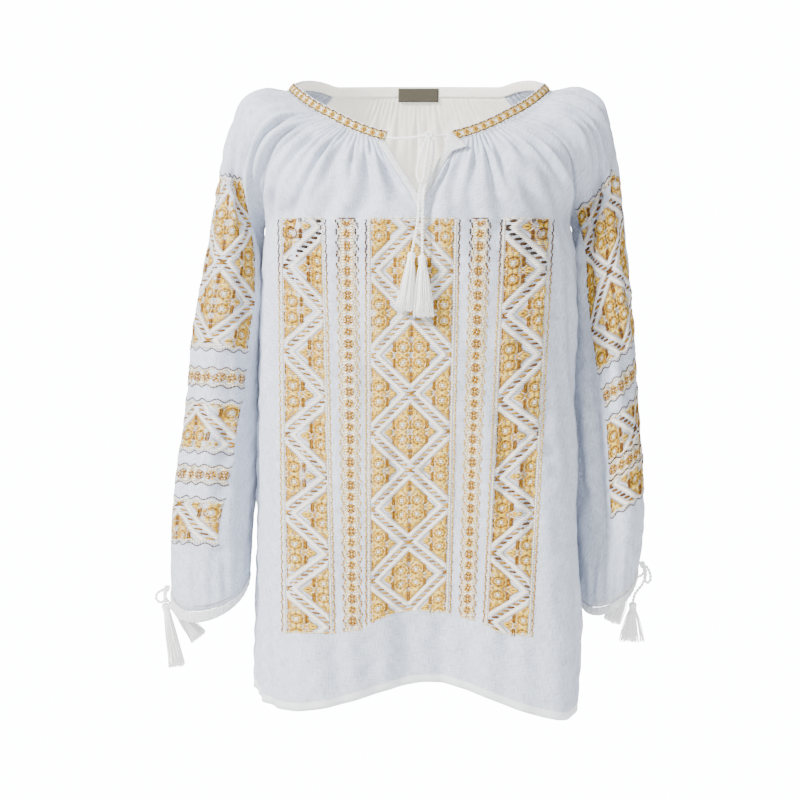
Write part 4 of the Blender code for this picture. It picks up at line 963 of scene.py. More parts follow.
def make_tassel(name, threads):
    """A bound head and a full skirt of soft threads that hang a little unevenly."""
    place = TASSELS[name]
    top, foot, down = tassel_axis(place)
    side = (Vector((1.0, 0.0, 0.0)) - down * down.x).normalized()
    top, down, side, deep = (np.array(v) for v in (top, down, side, down.cross(side)))
    length = float(np.linalg.norm(np.array(foot) - top))
    points, faces = [], []
    for distance, radius in HEAD_RINGS:
        for k in range(HEAD_SIDES):
            turn = TURN * k / HEAD_SIDES
            ribbed = radius * (1.0 + (0.035 if k % 2 else -0.035) * (distance < RIBBED_DOWN_TO))
            points.append(
                top + down * (distance * MM)
                + (side * math.cos(turn) + deep * math.sin(turn)) * (ribbed * MM))
    last = len(points) - HEAD_SIDES
    for ring in range(0, last, HEAD_SIDES):
        for k in range(HEAD_SIDES):
            a, b = ring + k, ring + (k + 1) % HEAD_SIDES
            faces.append((a, a + HEAD_SIDES, b + HEAD_SIDES, b))
    faces.append(tuple(range(HEAD_SIDES)))
    faces.append(tuple(last + k for k in reversed(range(HEAD_SIDES))))
    chance = np.random.default_rng(len(name) * 7 + int(abs(place.top[0]) * 1e5))
    start = down * SKIRT_START
    steps = np.linspace(0.0, 1.0, 7)[:, None]
    for k in range(threads):
        turn = GOLDEN_ANGLE * k
        reach = math.sqrt((k + 0.5) / threads)
        out = side * (math.cos(turn) * place.half_width) + deep * (math.sin(turn) * place.half_depth)
        root = top + start + (side * math.cos(turn) + deep * math.sin(turn)) * (3.5 * MM * reach)
        end = length * (0.985 - 0.05 * chance.uniform())
        bow = chance.uniform(0.75, 1.05)
        sway = (side * chance.normal() + deep * chance.normal()) * 0.9 * MM
        way = (
            root + down * ((end - SKIRT_START) * steps)
            + (out * reach * 1.12 - (root - top - start)) * (steps ** bow)
            + sway * np.sin(math.pi * steps)
        )
        _, one, two = carried_frames(way)
        tube(way, one, two, 0.62 * MM, 4, points, faces)
    piece = make_piece(name + "_threads", points, faces, "cotton_cord")
    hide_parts(name)
    return piece


# Cloth pieces

SNUG_DEPTH = 3.2 * MM
CUFF_DEPTH = 1.1 * MM
HEM_WIDTH = 9 * MM
LEAST_CUT = 10.1 * MM
# The share of a sheet's length and width that its area fills at least
FILLED = 0.97
FRONT_GATHERS, BACK_GATHERS, SLEEVE_GATHERS, CUFF_GATHERS, CASING_GATHERS = 16, 20, 15, 10, 18
BODY_LEVELS = np.concatenate((np.linspace(0.0, 0.96, 46), np.linspace(1.0, 2.0, 92)))
SLEEVE_LEVELS = np.concatenate((np.linspace(0.0, 0.96, 40), np.linspace(1.0, 1.983, 100)))
CASING_LEVELS = np.linspace(1.9837, 2.0, 9)


def cloth_grid(
        half, levels, columns, gathers, hem_table=None, open_middle=False, neck_depth=1.5 * MM):
    """Half a panel's cloth from its seam to its middle, with gathers, folds and creases."""
    shares = np.linspace(0.0, 1.0, columns + 1)
    grid = np.array([half.point(level, shares) for level in levels])
    normals = grid_normals(grid) * half.side
    down = levels[:, None]
    across = shares[None, :]
    aside = (1.0 - across) * half.side
    phase = TURN * gathers * aside
    wander = 1.3 * np.sin(7.0 * aside + 1.0) + 0.9 * np.sin(17.0 * aside + down * 2.0)
    uneven = 0.70 + 0.30 * np.sin(31.0 * aside + 2.0) + 0.25 * np.sin(13.0 * aside)
    # Fine gathers under the band, which run out into half as many soft ones
    fine = neck_depth * (1.0 - smooth_step(0.12, 0.42, down)) * np.sin(phase + wander)
    fine = fine * (0.25 + 0.75 * smooth_step(0.0, 0.05, down))
    soft = 2.6 * neck_depth * smooth_step(0.10, 0.34, down) * (1.0 - smooth_step(0.35, 1.10, down))
    soft = soft * np.sin(0.5 * phase + wander)
    # Creases that mostly run down the cloth, and short ones across the chest
    along = aside * half.row(1.0)[3]
    upright = ripples(along, -0.22 * grid[..., 2], 7, 0.036)
    crease = 1.3 * upright + 0.5 * ripples(along, -grid[..., 2], 9, 0.030)
    crease = crease * smooth_step(0.5, 1.1, down)
    rumple = ripples(along, -0.5 * grid[..., 2], 3, 0.034) * smooth_step(0.12, 0.4, down)
    crease = crease + 1.7 * rumple * (1.0 - smooth_step(0.85, 1.3, down))
    crease = crease * sizes().crease_depth
    fold = half.fold_depth(down, across)
    cuff = snug = 0.0
    if gathers == SLEEVE_GATHERS:
        # A sleeve lies closer at the armpit, and its creases end where the cuff is gathered
        fold = fold * (1.0 - smooth_step(1.80, 1.95, down))
        crease = crease * (1.0 - smooth_step(1.86, 1.98, down))
        snug = smooth_step(1.0, 1.06, down) * (1.0 - smooth_step(1.25, 1.45, down))
        snug = SNUG_DEPTH * snug * (1.0 - smooth_step(0.0, 0.45, across))
        cuff = CUFF_DEPTH * smooth_step(1.86, 1.95, down)
        cuff = cuff * (1.0 - 0.85 * smooth_step(1.95, 1.983, down))
        cuff = cuff * np.sin(TURN * CUFF_GATHERS * across + wander)
    # Nothing moves the seams and the slit's edges, so that the pieces meet
    edge = smooth_step(0.0, 0.025, across)
    if open_middle:
        edge = edge * np.where(down < 1.0, 1.0 - smooth_step(0.975, 1.0, across), 1.0)
    depth = ((fine + soft) * uneven + crease + fold + cuff) * edge + snug
    grid = grid + normals * depth[..., None]
    grid[0, :, 2] += 2.0 * MM
    if hem_table is not None:
        places = half.side * (shares - 1.0)
        drop = np.array([read_table(hem_table, "drop", place) for place in places])
        grid[..., 2] += smooth_step(1.5, 2.0, down) * drop[None, :]
    return grid


def join(first, second, shut, column):
    """Two halves meet on the same line in their first or last column."""
    shared = 0.5 * (first[shut, column] + second[shut, column])
    first[shut, column] = shared
    second[shut, column] = shared


def declare_sheet(piece, grids):
    """Works out how large the piece's cloth is when it lies flat; the sizes are not kept."""
    width = max(sum(float(Cloth(grid).along[:, -1].max()) for grid in grids), LEAST_CUT)
    length = max(float(np.median(Cloth(grid).down[-1])) for grid in grids)
    area = sum(p.area for p in piece.data.polygons) / 2.0
    length = max(length, area / (FILLED * width), LEAST_CUT)


def front_grids():
    left, right = (
        cloth_grid(HALVES[name], BODY_LEVELS, 112, FRONT_GATHERS, FRONT_HEM, True)
        for name in ("front_left", "front_right"))
    join(left, right, BODY_LEVELS >= 1.0, -1)
    return left, right


def back_grids():
    right, left = (
        cloth_grid(HALVES[name], BODY_LEVELS, 84, BACK_GATHERS, BACK_HEM, neck_depth=0.8 * MM)
        for name in ("back_right", "back_left"))
    join(right, left, BODY_LEVELS >= 0.0, -1)
    return right, left


def sleeve_halves(side):
    """The half that comes first when the sleeve is wound with its outer side out."""
    parts = ("back", "front") if side == "left" else ("front", "back")
    return [HALVES[f"sleeve_{side}_{part}"] for part in parts]


def sleeve_grids(side):
    grids = [
        cloth_grid(half, SLEEVE_LEVELS, 75, SLEEVE_GATHERS, neck_depth=1.9 * MM)
        for half in sleeve_halves(side)]
    join(*grids, SLEEVE_LEVELS >= 0.0, -1)
    join(*grids, SLEEVE_LEVELS >= 1.0, 0)
    return grids


def sleeve_round(side):
    """All places round a sleeve, from under the arm over its front."""
    grids = sleeve_grids(side)
    front, back = grids[::-1] if side == "left" else grids
    return np.concatenate((front, back[:, -2::-1]), axis=1)


def make_panel(name, node, grids, wall, *kinds, hem_width=0.0):
    """A gathered panel from two half grids; each is wound so that its outer side faces out."""
    first, second = grids
    piece = weld_cloth(name, [Cloth(first, True), Cloth(second[:, ::-1])], wall, kinds, hem_width)
    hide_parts(node)
    declare_sheet(piece, grids)


def make_casing(side):
    """The doubled casing at a sleeve's end, softly gathered on its drawstring."""
    shares = np.linspace(0.0, 1.0, 73)
    grids = []
    for half in sleeve_halves(side):
        grid = np.array([half.point(level, shares) for level in CASING_LEVELS])
        normals = grid_normals(grid) * half.side
        bulge = 0.5 * MM * np.sin(math.pi * np.linspace(0.0, 1.0, len(CASING_LEVELS)))[:, None]
        pleat = 0.35 * MM * np.sin(TURN * CASING_GATHERS * shares)[None, :]
        depth = bulge + pleat * smooth_step(0.0, 0.05, shares)
        grids.append(grid + normals * depth[..., None])
    for column in (-1, 0):
        join(*grids, CASING_LEVELS >= 1.0, column)
    make_panel(
        f"cuff_{side}_casing", f"cuff_{side}", grids, sizes().casing_wall, "linen_doubled")


def make_facing(side, table):
    """A turned strip down one side of the slit; the right one's corner is folded out."""
    half = HALVES[f"front_{side}"]
    across = np.linspace(0.0, 1.0, 7)
    entries = []
    for one, two in zip(table, table[1:]):
        for t in across[:-1]:
            entries.append([a + (b - a) * t for a, b in zip(one, two)])
    entries.append(list(table[-1]))
    rows = []
    for level, inner, outer, inner_lift, outer_lift in entries:
        shown = max(level, 0.0)
        near, far = half.point(shown, 0.97), half.point(shown, 0.99)
        down = half.point(shown + 0.004, 0.98) - half.point(shown, 0.98)
        outward = unit(np.cross(down, far - near) * half.side)
        row = []
        for width, lift in ((outer, outer_lift), (inner, inner_lift)):
            place = half.point_near_middle(shown, width)
            rise = place - half.point_near_middle(shown + 0.1, width)
            row.append(place + outward * lift + rise * (10.0 * max(-level, 0.0)))
        crumple = 0.25 + 0.30 * (1.0 + math.sin(41.0 * shown) * math.cos(67.0 * shown))
        bulge = crumple * MM * np.sin(math.pi * across)
        rows.append([row[0] + (row[1] - row[0]) * t + outward * b for t, b in zip(across, bulge)])
    grid = np.array(rows)
    if side == "right":
        grid = grid[:, ::-1]
    piece = weld_cloth(
        f"slit_facing_{side}_strip", [Cloth(grid)], sizes().cloth_wall, ["linen_doubled"])
    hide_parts(f"slit_facing_{side}")
    declare_sheet(piece, [grid])


# The neck band

BAND_SEGMENTS = 84
BAND_COLUMNS = 168
# How deep the band is from its foot to its top, in band walls
BAND_DEPTHS = (1.0, 1.17, 1.27, 1.33, 1.27, 1.17, 1.0)


def neck_ring(level):
    """The neck loop from the slit's left side, round the back, to its right side."""
    ring = []
    ends = {"front_left": BAND_END_LEFT, "front_right": BAND_END_RIGHT}
    for name, backwards in (
        ("front_left", True), ("sleeve_left_front", False), ("sleeve_left_back", True),
        ("back_left", False), ("back_right", True), ("sleeve_right_back", False),
        ("sleeve_right_front", True), ("front_right", False),
    ):
        half = HALVES[name]
        places = list(half.point(level, np.linspace(0.0, 1.0, 13)))
        if name in ends:
            places.append(half.point_near_middle(level, ends[name]))
        if backwards:
            places.reverse()
        ring += places if not ring else places[1:]
    return np.array(ring)


def band_frame(segments=BAND_SEGMENTS):
    """Round the neck: each place with the band's directions at its foot and its top."""
    low, below = (spread_evenly(neck_ring(level), segments) for level in (0.0, 0.1))
    along = unit(np.gradient(low, axis=0))
    slope_up = low - below
    slope_up = unit(slope_up - along * (slope_up * along).sum(axis=1, keepdims=True))
    upright = unit(slope_up * 0.6 + np.array((0.0, 0.0, 0.8)))
    upright = unit(upright - along * (upright * along).sum(axis=1, keepdims=True))
    foot_out, top_out = np.cross(slope_up, along), np.cross(upright, along)
    outside = (top_out[:, :2] * low[:, :2]).sum(axis=1) < 0.0
    foot_out[outside] *= -1.0
    top_out[outside] *= -1.0
    return low, slope_up, unit(foot_out), upright, unit(top_out)


def band_grid(columns, rows):
    """Places on the band's outer face: columns along it, rows from its foot to its top."""
    old, new = (np.linspace(0.0, 1.0, count + 1) for count in (BAND_SEGMENTS, columns))
    low, slope_up, foot_out, upright, top_out = (read_line(new, old, part) for part in band_frame())
    wall, height = sizes().band_wall, sizes().band_height
    foot = low + slope_up * BAND_LIFT
    grid = []
    for share in np.linspace(0.0, 1.0, rows + 1):
        out = unit(foot_out * (1.0 - min(2.0 * share, 1.0)) + top_out * min(2.0 * share, 1.0))
        bulge = 0.5 * wall + 0.2 * wall * math.sin(math.pi * share)
        grid.append(foot + upright * (height * share) + out * bulge)
    return np.array(grid)


def make_band():
    """The folded neck band, slightly rounded, with closed ends."""
    outer = band_grid(BAND_COLUMNS, len(BAND_DEPTHS) - 1)
    top_out = band_frame(BAND_COLUMNS)[4]
    depths = np.array(BAND_DEPTHS)[:, None, None]
    loop = np.concatenate((outer, (outer - top_out[None] * sizes().band_wall * depths * 0.97)[::-1]))
    sides, count = loop.shape[:2]
    points = loop.transpose(1, 0, 2).reshape(-1, 3)
    faces = list(ring_faces(0, count, sides))
    piece = make_piece("neck_band_cloth", points, faces, "linen_doubled", "linen_inside")
    inward = [int(len(BAND_DEPTHS) <= face % sides < sides - 1) for face in range(len(faces) - 2)]
    piece.data.polygons.foreach_set("material_index", inward + [0, 0])
    layer = piece.data.uv_layers.new(name="Flat")
    for number, corner in enumerate(piece.data.loops):
        k, s = divmod(corner.vertex_index, sides)
        layer.data[number].uv = (k * 3.9 * MM, s * 2.0 * MM)
    face_outwards(piece)
    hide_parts("neck_band")
    ring = float(lengths_so_far(neck_ring(0.0))[-1])
    area = sum(p.area for p in piece.data.polygons) / 2.0
    height = max(sizes().band_height * 1.15, area / (FILLED * ring))


def make_label():
    """The blank label inside the back neck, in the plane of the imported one."""
    low, high = (np.array(corner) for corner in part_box("label"))
    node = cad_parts["label"]
    source = bpy.data.objects[node] if isinstance(node, str) else node
    corners = np.array([tuple(v.co) for v in source.data.vertices])
    centre = corners.mean(axis=0)
    _, _, axes = np.linalg.svd(corners - centre)
    normal = axes[2] if axes[2][1] > 0 else -axes[2]
    x, z = np.meshgrid(np.linspace(low[0], high[0], 25), np.linspace(high[2], low[2], 9))
    y = centre[1] - ((x - centre[0]) * normal[0] + (z - centre[2]) * normal[2]) / normal[1]
    grid = np.stack((x, y, z), axis=-1)
    piece = weld_cloth("label_woven", [Cloth(grid)], 0.9 * MM, ["label_weave"])
    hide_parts("label")


# Embroidery: charts give each column and row of the photograph a place on the cloth

PIXEL = 1.1 * MM
CHART_STEP = 3.0
FRONT_COLUMNS, FRONT_ROWS = (262, 574), (200, 652)
WHITE, LIGHT, GOLD, BROWN, DARK = 0.0, 0.25, 0.5, 0.75, 1.0


class Chart:
    """A grid of places on the cloth, read at any column and row."""

    def __init__(self, grid, first_column, first_row, step, side=1.0):
        self.grid = grid
        self.start = np.array((first_column, first_row))
        self.step = step
        self.normals = grid_normals(grid) * side

    def read(self, layer, columns, rows):
        """Reads a grid between its four nearest places."""
        a = np.clip((columns - self.start[0]) / self.step[0], 0.0, layer.shape[1] - 1.001)
        b = np.clip((rows - self.start[1]) / self.step[1], 0.0, layer.shape[0] - 1.001)
        i, j = b.astype(int), a.astype(int)
        u, v = (a - j)[:, None], (b - i)[:, None]
        upper = layer[i, j] * (1.0 - u) + layer[i, j + 1] * u
        lower = layer[i + 1, j] * (1.0 - u) + layer[i + 1, j + 1] * u
        return upper * (1.0 - v) + lower * v

    def places(self, columns, rows):
        """Places on the cloth, and its outward directions there."""
        return self.read(self.grid, columns, rows), unit(self.read(self.normals, columns, rows))


def front_chart():
    """Looks from the camera through each column and row, on to the front."""
    mesh = bpy.data.objects["front_cloth"].data
    tree = BVHTree.FromPolygons(
        [v.co for v in mesh.vertices], [tuple(p.vertices) for p in mesh.polygons])
    columns, rows = (np.arange(*span, CHART_STEP) for span in (FRONT_COLUMNS, FRONT_ROWS))
    grid = np.full((len(rows), len(columns), 3), np.nan)
    for r, row in enumerate(rows):
        for c, column in enumerate(columns):
            ray = LOOK + np.array((column - HALF_FRAME, 0.0, 0.0)) / PIXELS
            ray = ray + UP * ((HALF_FRAME - row) / PIXELS)
            hit = tree.ray_cast(CAMERA_PLACE, Vector(ray).normalized())[0]
            if hit is not None:
                grid[r, c] = hit
        known = np.flatnonzero(~np.isnan(grid[r, :, 0]))
        grid[r] = read_line(np.arange(len(columns)), known, grid[r, known])
    return Chart(grid, columns[0], rows[0], (CHART_STEP, CHART_STEP))


# Where the embroidered strip's inner edge runs down each sleeve, in the photograph
EdgePlace = namedtuple("EdgePlace", "row column")
LEFT_STRIP = table_of(EdgePlace, (
    (176, 241), (225, 251), (260, 255), (300, 255), (345, 248), (380, 245), (430, 237), (475, 230),
    (520, 220), (560, 217),
))
RIGHT_STRIP = table_of(EdgePlace, (
    (170, 574), (209, 576), (254, 586), (290, 587), (327, 591), (374, 598), (405, 605), (462, 609),
    (517, 611), (560, 611),
))
STRIP_WIDTH = 80.0

# A stitch's ends are columns and rows; its tone runs from WHITE to DARK
Stitch = namedtuple("Stitch", "x0 y0 x1 y1 width tone lift")
GROUND_LIFT = 0.2
# The longest stitch, and half a mesh of the lattice, in columns and rows
LONGEST = 9.5
HALF_WIDE, HALF_HIGH = 40.0, 39.2


def on_outer_face(grid, side):
    return grid + grid_normals(grid) * side * (0.5 * sizes().cloth_wall)


def sleeve_chart(side, strip, tilt, stretch):
    """Columns count outwards from the strip's inner edge, rows down that edge."""
    turn = -1.0 if side == "left" else 1.0
    around = on_outer_face(sleeve_round(side), turn)
    columns, rows = in_frame(around)
    edge_columns = np.interp(rows, [p.row for p in strip], [p.column for p in strip])
    past = (columns - edge_columns) * turn
    lengths = Cloth(around).along
    offsets = np.arange(-6.0, STRIP_WIDTH + 8.0, 2.0)
    wanted = np.arange(150.0, 566.0, CHART_STEP)
    laid = np.zeros((len(around), len(offsets), 3))
    for level, so_far in enumerate(lengths):
        first = int(np.argmax(past[level] > 0.0))
        share = past[level, first] / (past[level, first] - past[level, first - 1]) if first else 0.0
        edge = so_far[first] - share * (so_far[first] - so_far[max(first - 1, 0)])
        laid[level] = read_line(edge + offsets * PIXEL * stretch, so_far, around[level])
    grid = np.zeros((len(wanted), len(offsets), 3))
    for c, offset in enumerate(offsets):
        past_rows = np.maximum.accumulate(in_frame(laid[:, c])[1] + np.arange(len(around)) * 1e-6)
        grid[:, c] = read_line(wanted - tilt * offset, past_rows, laid[:, c])
    return Chart(grid, offsets[0], wanted[0], (2.0, CHART_STEP), turn)


class Stitches:
    """A list of stitches; rows above dusk turn darker towards the shoulders."""

    def __init__(self, dusk=0.0):
        self.rows = []
        self.dusk = dusk

    def darker(self, y):
        """How far a row is up in the brown stitches by the shoulders."""
        return min(1.0, max(0.0, (self.dusk - y) / 30.0))

    def lay(self, x0, y0, x1, y1, width, tone, lift=1.0):
        """Lays a stitch, or several in line where it would be too long for the cloth."""
        count = max(1, math.ceil(math.hypot(x1 - x0, y1 - y0) / LONGEST))
        for k in range(count):
            a, b = k / count, (k + 1) / count
            self.rows.append(Stitch(
                x0 + (x1 - x0) * a, y0 + (y1 - y0) * a,
                x0 + (x1 - x0) * b, y0 + (y1 - y0) * b, width, tone, lift))

    def eye(self, x, y, length, width, tone, upright=True, count=4):
        """A satin leaf: parallel stitches, the longest in its middle."""
        for k in range(count):
            share = (k + 0.5) / count * 2.0 - 1.0
            half = 0.5 * length * math.sqrt(1.0 - 0.72 * share * share)
            off = 0.5 * width * share
            shade = tone + 0.07 * math.sin(2.7 * k + x + y)
            ends = (x + off, y - half, x + off, y + half)
            if not upright:
                ends = (x - half, y + off, x + half, y + off)
            self.lay(*ends, 1.25 * width / count, shade)

    def ring(self, x, y, radius_x, radius_y, width, tone):
        for k in range(8):
            one, two = TURN * k / 8, TURN * (k + 1) / 8
            shade = tone + 0.06 * math.sin(5.0 * k + x)
            self.lay(
                x + radius_x * math.cos(one), y + radius_y * math.sin(one),
                x + radius_x * math.cos(two), y + radius_y * math.sin(two), width, shade)

    def rosette(self, x, y, deep):
        """Rings of thread round a square white centre."""
        self.ring(x, y, 7.2, 6.6, 1.2, LIGHT - 0.05 + deep)
        self.ring(x, y, 5.5, 5.1, 2.1, GOLD + 0.03 + deep)
        self.ring(x, y, 3.7, 3.4, 1.3, LIGHT - 0.04 + deep)
        for up in (-0.9, 0.9):
            self.lay(x - 1.9, y + up, x + 1.9, y + up, 1.7, WHITE + 0.06, 1.2)

    def diamond(self, x, y, deep=0.0):
        """Four rosettes with satin leaves between them and a pointed tip on each side."""
        for k in range(-17, 18):
            down = k * 1.65
            half = 18.8 if abs(down) < 11.0 else 18.8 - 1.03 * (abs(down) - 11.0)
            if abs(down) < 8.0:
                half = 27.2 - 1.05 * abs(down)
            shade = GOLD - 0.05 + 0.04 * math.sin(3.1 * k) + deep
            self.lay(x - half, y + down, x, y + down, 2.1, shade, 0.0)
            self.lay(x, y + down, x + half, y + down, 2.1, shade, 0.0)
        for side in SIDES:
            for up in SIDES:
                self.rosette(x + 8.0 * side, y + 7.6 * up, deep)
                self.eye(x + 16.6 * side, y + 7.6 * up, 11.0, 3.4, BROWN - 0.10 + deep, True, 3)
                for ax, ay, bx, by, width, tone in (
                    (15.0, 1.0, 20.5, 4.6, 1.2, LIGHT - 0.10),
                    (1.0, 14.0, 6.0, 19.0, 1.2, LIGHT - 0.10),
                    (1.2, 1.2, 3.2, 3.2, 1.4, LIGHT - 0.12),
                ):
                    ends = (x + ax * side, y + ay * up, x + bx * side, y + by * up)
                    self.lay(*ends, width, tone, 1.2)
            for ax, ay, length, width, tone, upright, count in (
                (8.0 * side, 0.0, 9.0, 2.6, LIGHT, False, 2),
                (8.0 * side, -15.6, 10.0, 3.0, LIGHT, False, 2),
                (8.0 * side, 15.6, 10.0, 3.0, LIGHT, False, 2),
                (0.0, 7.6 * side, 10.5, 2.8, BROWN - 0.12 + deep, True, 2),
                (0.0, 22.5 * side, 12.0, 3.2, GOLD + 0.16 + deep, True, 3),
                (-4.4, 19.0 * side, 7.0, 2.6, LIGHT + 0.04, True, 2),
                (4.4, 19.0 * side, 7.0, 2.6, LIGHT + 0.04, True, 2),
                (22.0 * side, 0.0, 9.0, 4.6, LIGHT + 0.08, False, 3),
            ):
                self.eye(x + ax, y + ay, length, width, tone, upright, count)
            self.lay(x + 18.0 * side, y, x + 26.0 * side, y, 1.0, BROWN - 0.05, 1.3)

    def lattice(self, x, y, deep):
        """White satin bands round a diamond, with stepped dashes between neighbours."""
        reach = 0.835
        for side in SIDES:
            for up in SIDES:
                for k in range(20):
                    share = (k + 0.5) / 20
                    px = x + side * HALF_WIDE * reach * (1.0 - share)
                    py = y + up * HALF_HIGH * reach * share
                    shade = WHITE + 0.03 * (1.0 + math.sin(2.2 * k + x))
                    self.lay(px - 3.9, py, px + 3.9, py, 1.9, shade)
            for k in range(9):
                share = (k + 0.25) / 8.6
                px, py = x + HALF_WIDE * (1.0 - share), y + side * HALF_HIGH * share
                if share < 1.0:
                    dark = self.darker(py)
                    shade = GOLD + 0.06 + 2.0 * deep + 0.12 * math.sin(1.9 * k + y) + 0.36 * dark
                    rise = 0.7 * side * (1.0 - dark)
                    width = 2.0 + 8.0 * deep + 0.8 * dark
                    self.lay(px - 3.5, py + rise, px + 3.5, py - rise, width, shade)

    def diaper(self, x, y, deep):
        """The whole repeat: diamonds on every other place of the lattice."""
        for j in range(-8, 9):
            for i in (-1, 0, 1):
                place_x = x + 2.0 * HALF_WIDE * i + (HALF_WIDE if j % 2 else 0.0)
                place_y = y + HALF_HIGH * j
                self.lattice(place_x, place_y, deep)
                self.diamond(place_x, place_y, deep + 0.14 * self.darker(place_y))

    def upright_line(self, x, top, bottom, step, width, tone, swing=0.0, period=22.0):
        """A line of stitches down a column, straight or in waves."""
        y = top
        while y < bottom:
            sway = swing * math.sin(TURN * y / period)
            after = swing * math.sin(TURN * (y + step) / period)
            self.lay(x + sway, y, x + after, min(y + step, bottom), width, tone)
            y += step

    def fringe(self, x, side, top, bottom, swing=0.5, period=9.0):
        """The dotted edge of a column, darkest near the shoulders."""
        for k in range(int((bottom - top) / 3.1)):
            y = top + 3.1 * k
            near = x + swing * math.sin(TURN * y / period)
            far = near + 0.9 * side
            tone = np.interp(y - top, (0, 30, 85, 290, 350), (1.0, 0.95, 0.42, 0.42, 0.62))
            tone = tone + 0.1 * math.sin(2.3 * k)
            self.lay(near, y, far, y + 1.5, 1.9, tone)
            self.lay(far, y + 1.5, near, y + 3.0, 1.6, tone - 0.18)

    def level_wave(self, y, left, right, swing, period, width, tone):
        """A waved line across a strip."""
        x = left
        while x < right:
            one = swing * math.sin(TURN * x / period)
            two = swing * math.sin(TURN * (x + 2.2) / period)
            self.lay(x, y + one, min(x + 2.2, right), y + two, width, tone)
            x += 2.2

    def small_rosettes(self, points):
        """A chain of small round and star-shaped flowers."""
        for number, (x, y) in enumerate(points):
            for turn in range(8):
                angle = math.pi * (turn + 0.5 * (number % 2)) / 4.0
                reach = 4.8 if turn % 2 else 4.0
                self.lay(
                    x + 1.0 * math.cos(angle), y + 1.0 * math.sin(angle),
                    x + reach * math.cos(angle), y + reach * math.sin(angle),
                    2.1, GOLD + 0.20 * (turn % 2))
            self.ring(x, y, 4.9, 4.7, 1.1, LIGHT if number % 2 else GOLD + 0.1)
            self.lay(x - 0.9, y, x + 0.9, y, 1.4, WHITE + 0.14, 1.3)

    def clipped(self, left, right, top, bottom):
        """Keeps what lies in a frame, and trims what crosses its upright sides."""
        kept = Stitches()
        for x0, y0, x1, y1, width, tone, lift in self.rows:
            x, y = 0.5 * (x0 + x1), 0.5 * (y0 + y1)
            if top <= y <= bottom and max(x0, x1) > left and min(x0, x1) < right:
                one, two = min(max(x0, left), right), min(max(x1, left), right)
                if abs(two - one) > 0.5 or abs(x1 - x0) <= 0.5:
                    if left <= x <= right or abs(two - one) > 0.8:
                        kept.lay(one, y0, two, y1, width, tone, lift)
        return kept.rows


def stitch_tree():
    """Geometry Nodes that set one padded stitch on every point."""
    tree = bpy.data.node_groups.new("Stitches", "GeometryNodeTree")
    face = tree.interface
    face.new_socket("Geometry", in_out="INPUT", socket_type="NodeSocketGeometry")
    face.new_socket("Sides", in_out="INPUT", socket_type="NodeSocketInt")
    face.new_socket("Thread", in_out="INPUT", socket_type="NodeSocketMaterial")
    face.new_socket("Geometry", in_out="OUTPUT", socket_type="NodeSocketGeometry")

    def node(kind, settings=None, values=None):
        made = tree.nodes.new(kind)
        for key, value in (settings or {}).items():
            setattr(made, key, value)
        for key, value in (values or {}).items():
            if isinstance(value, bpy.types.NodeSocket):
                tree.links.new(value, made.inputs[key])
            else:
                made.inputs[key].default_value = value
        return made

    given = node("NodeGroupInput")

    def carried(name, kind):
        found = node("GeometryNodeInputNamedAttribute", {"data_type": kind}, {"Name": name})
        return next(s for s in found.outputs if s.enabled and s.name == "Attribute")

    ball = node("GeometryNodeMeshUVSphere", {}, {
        "Segments": given.outputs["Sides"], "Rings": 2, "Radius": 0.5})
    soft = node("GeometryNodeSetShadeSmooth", {}, {"Geometry": ball.outputs["Mesh"]})
    turn = node("FunctionNodeAxesToRotation", {"primary_axis": "X", "secondary_axis": "Z"}, {
        0: carried("along", "FLOAT_VECTOR"), 1: carried("out", "FLOAT_VECTOR")})
    spread = node("GeometryNodeInstanceOnPoints", {}, {
        "Points": given.outputs["Geometry"], "Instance": soft.outputs["Geometry"],
        "Rotation": turn.outputs[0], "Scale": carried("size", "FLOAT_VECTOR")})
    real = node("GeometryNodeRealizeInstances", {}, {"Geometry": spread.outputs["Instances"]})
    dressed = node("GeometryNodeSetMaterial", {}, {
        "Geometry": real.outputs["Geometry"], "Material": given.outputs["Thread"]})
    result = node("NodeGroupOutput")
    tree.links.new(dressed.outputs["Geometry"], result.inputs["Geometry"])
    return tree


SHORTEST_SEWN, LONGEST_SEWN = 0.2 * MM, 34 * MM


def sew_layers(name, chart, rows):
    """Lays the low filling first, then the raised stitches over it."""
    sew(f"{name}_ground", chart, [row for row in rows if row.lift < GROUND_LIFT], 4)
    sew(name, chart, [row for row in rows if row.lift >= GROUND_LIFT])


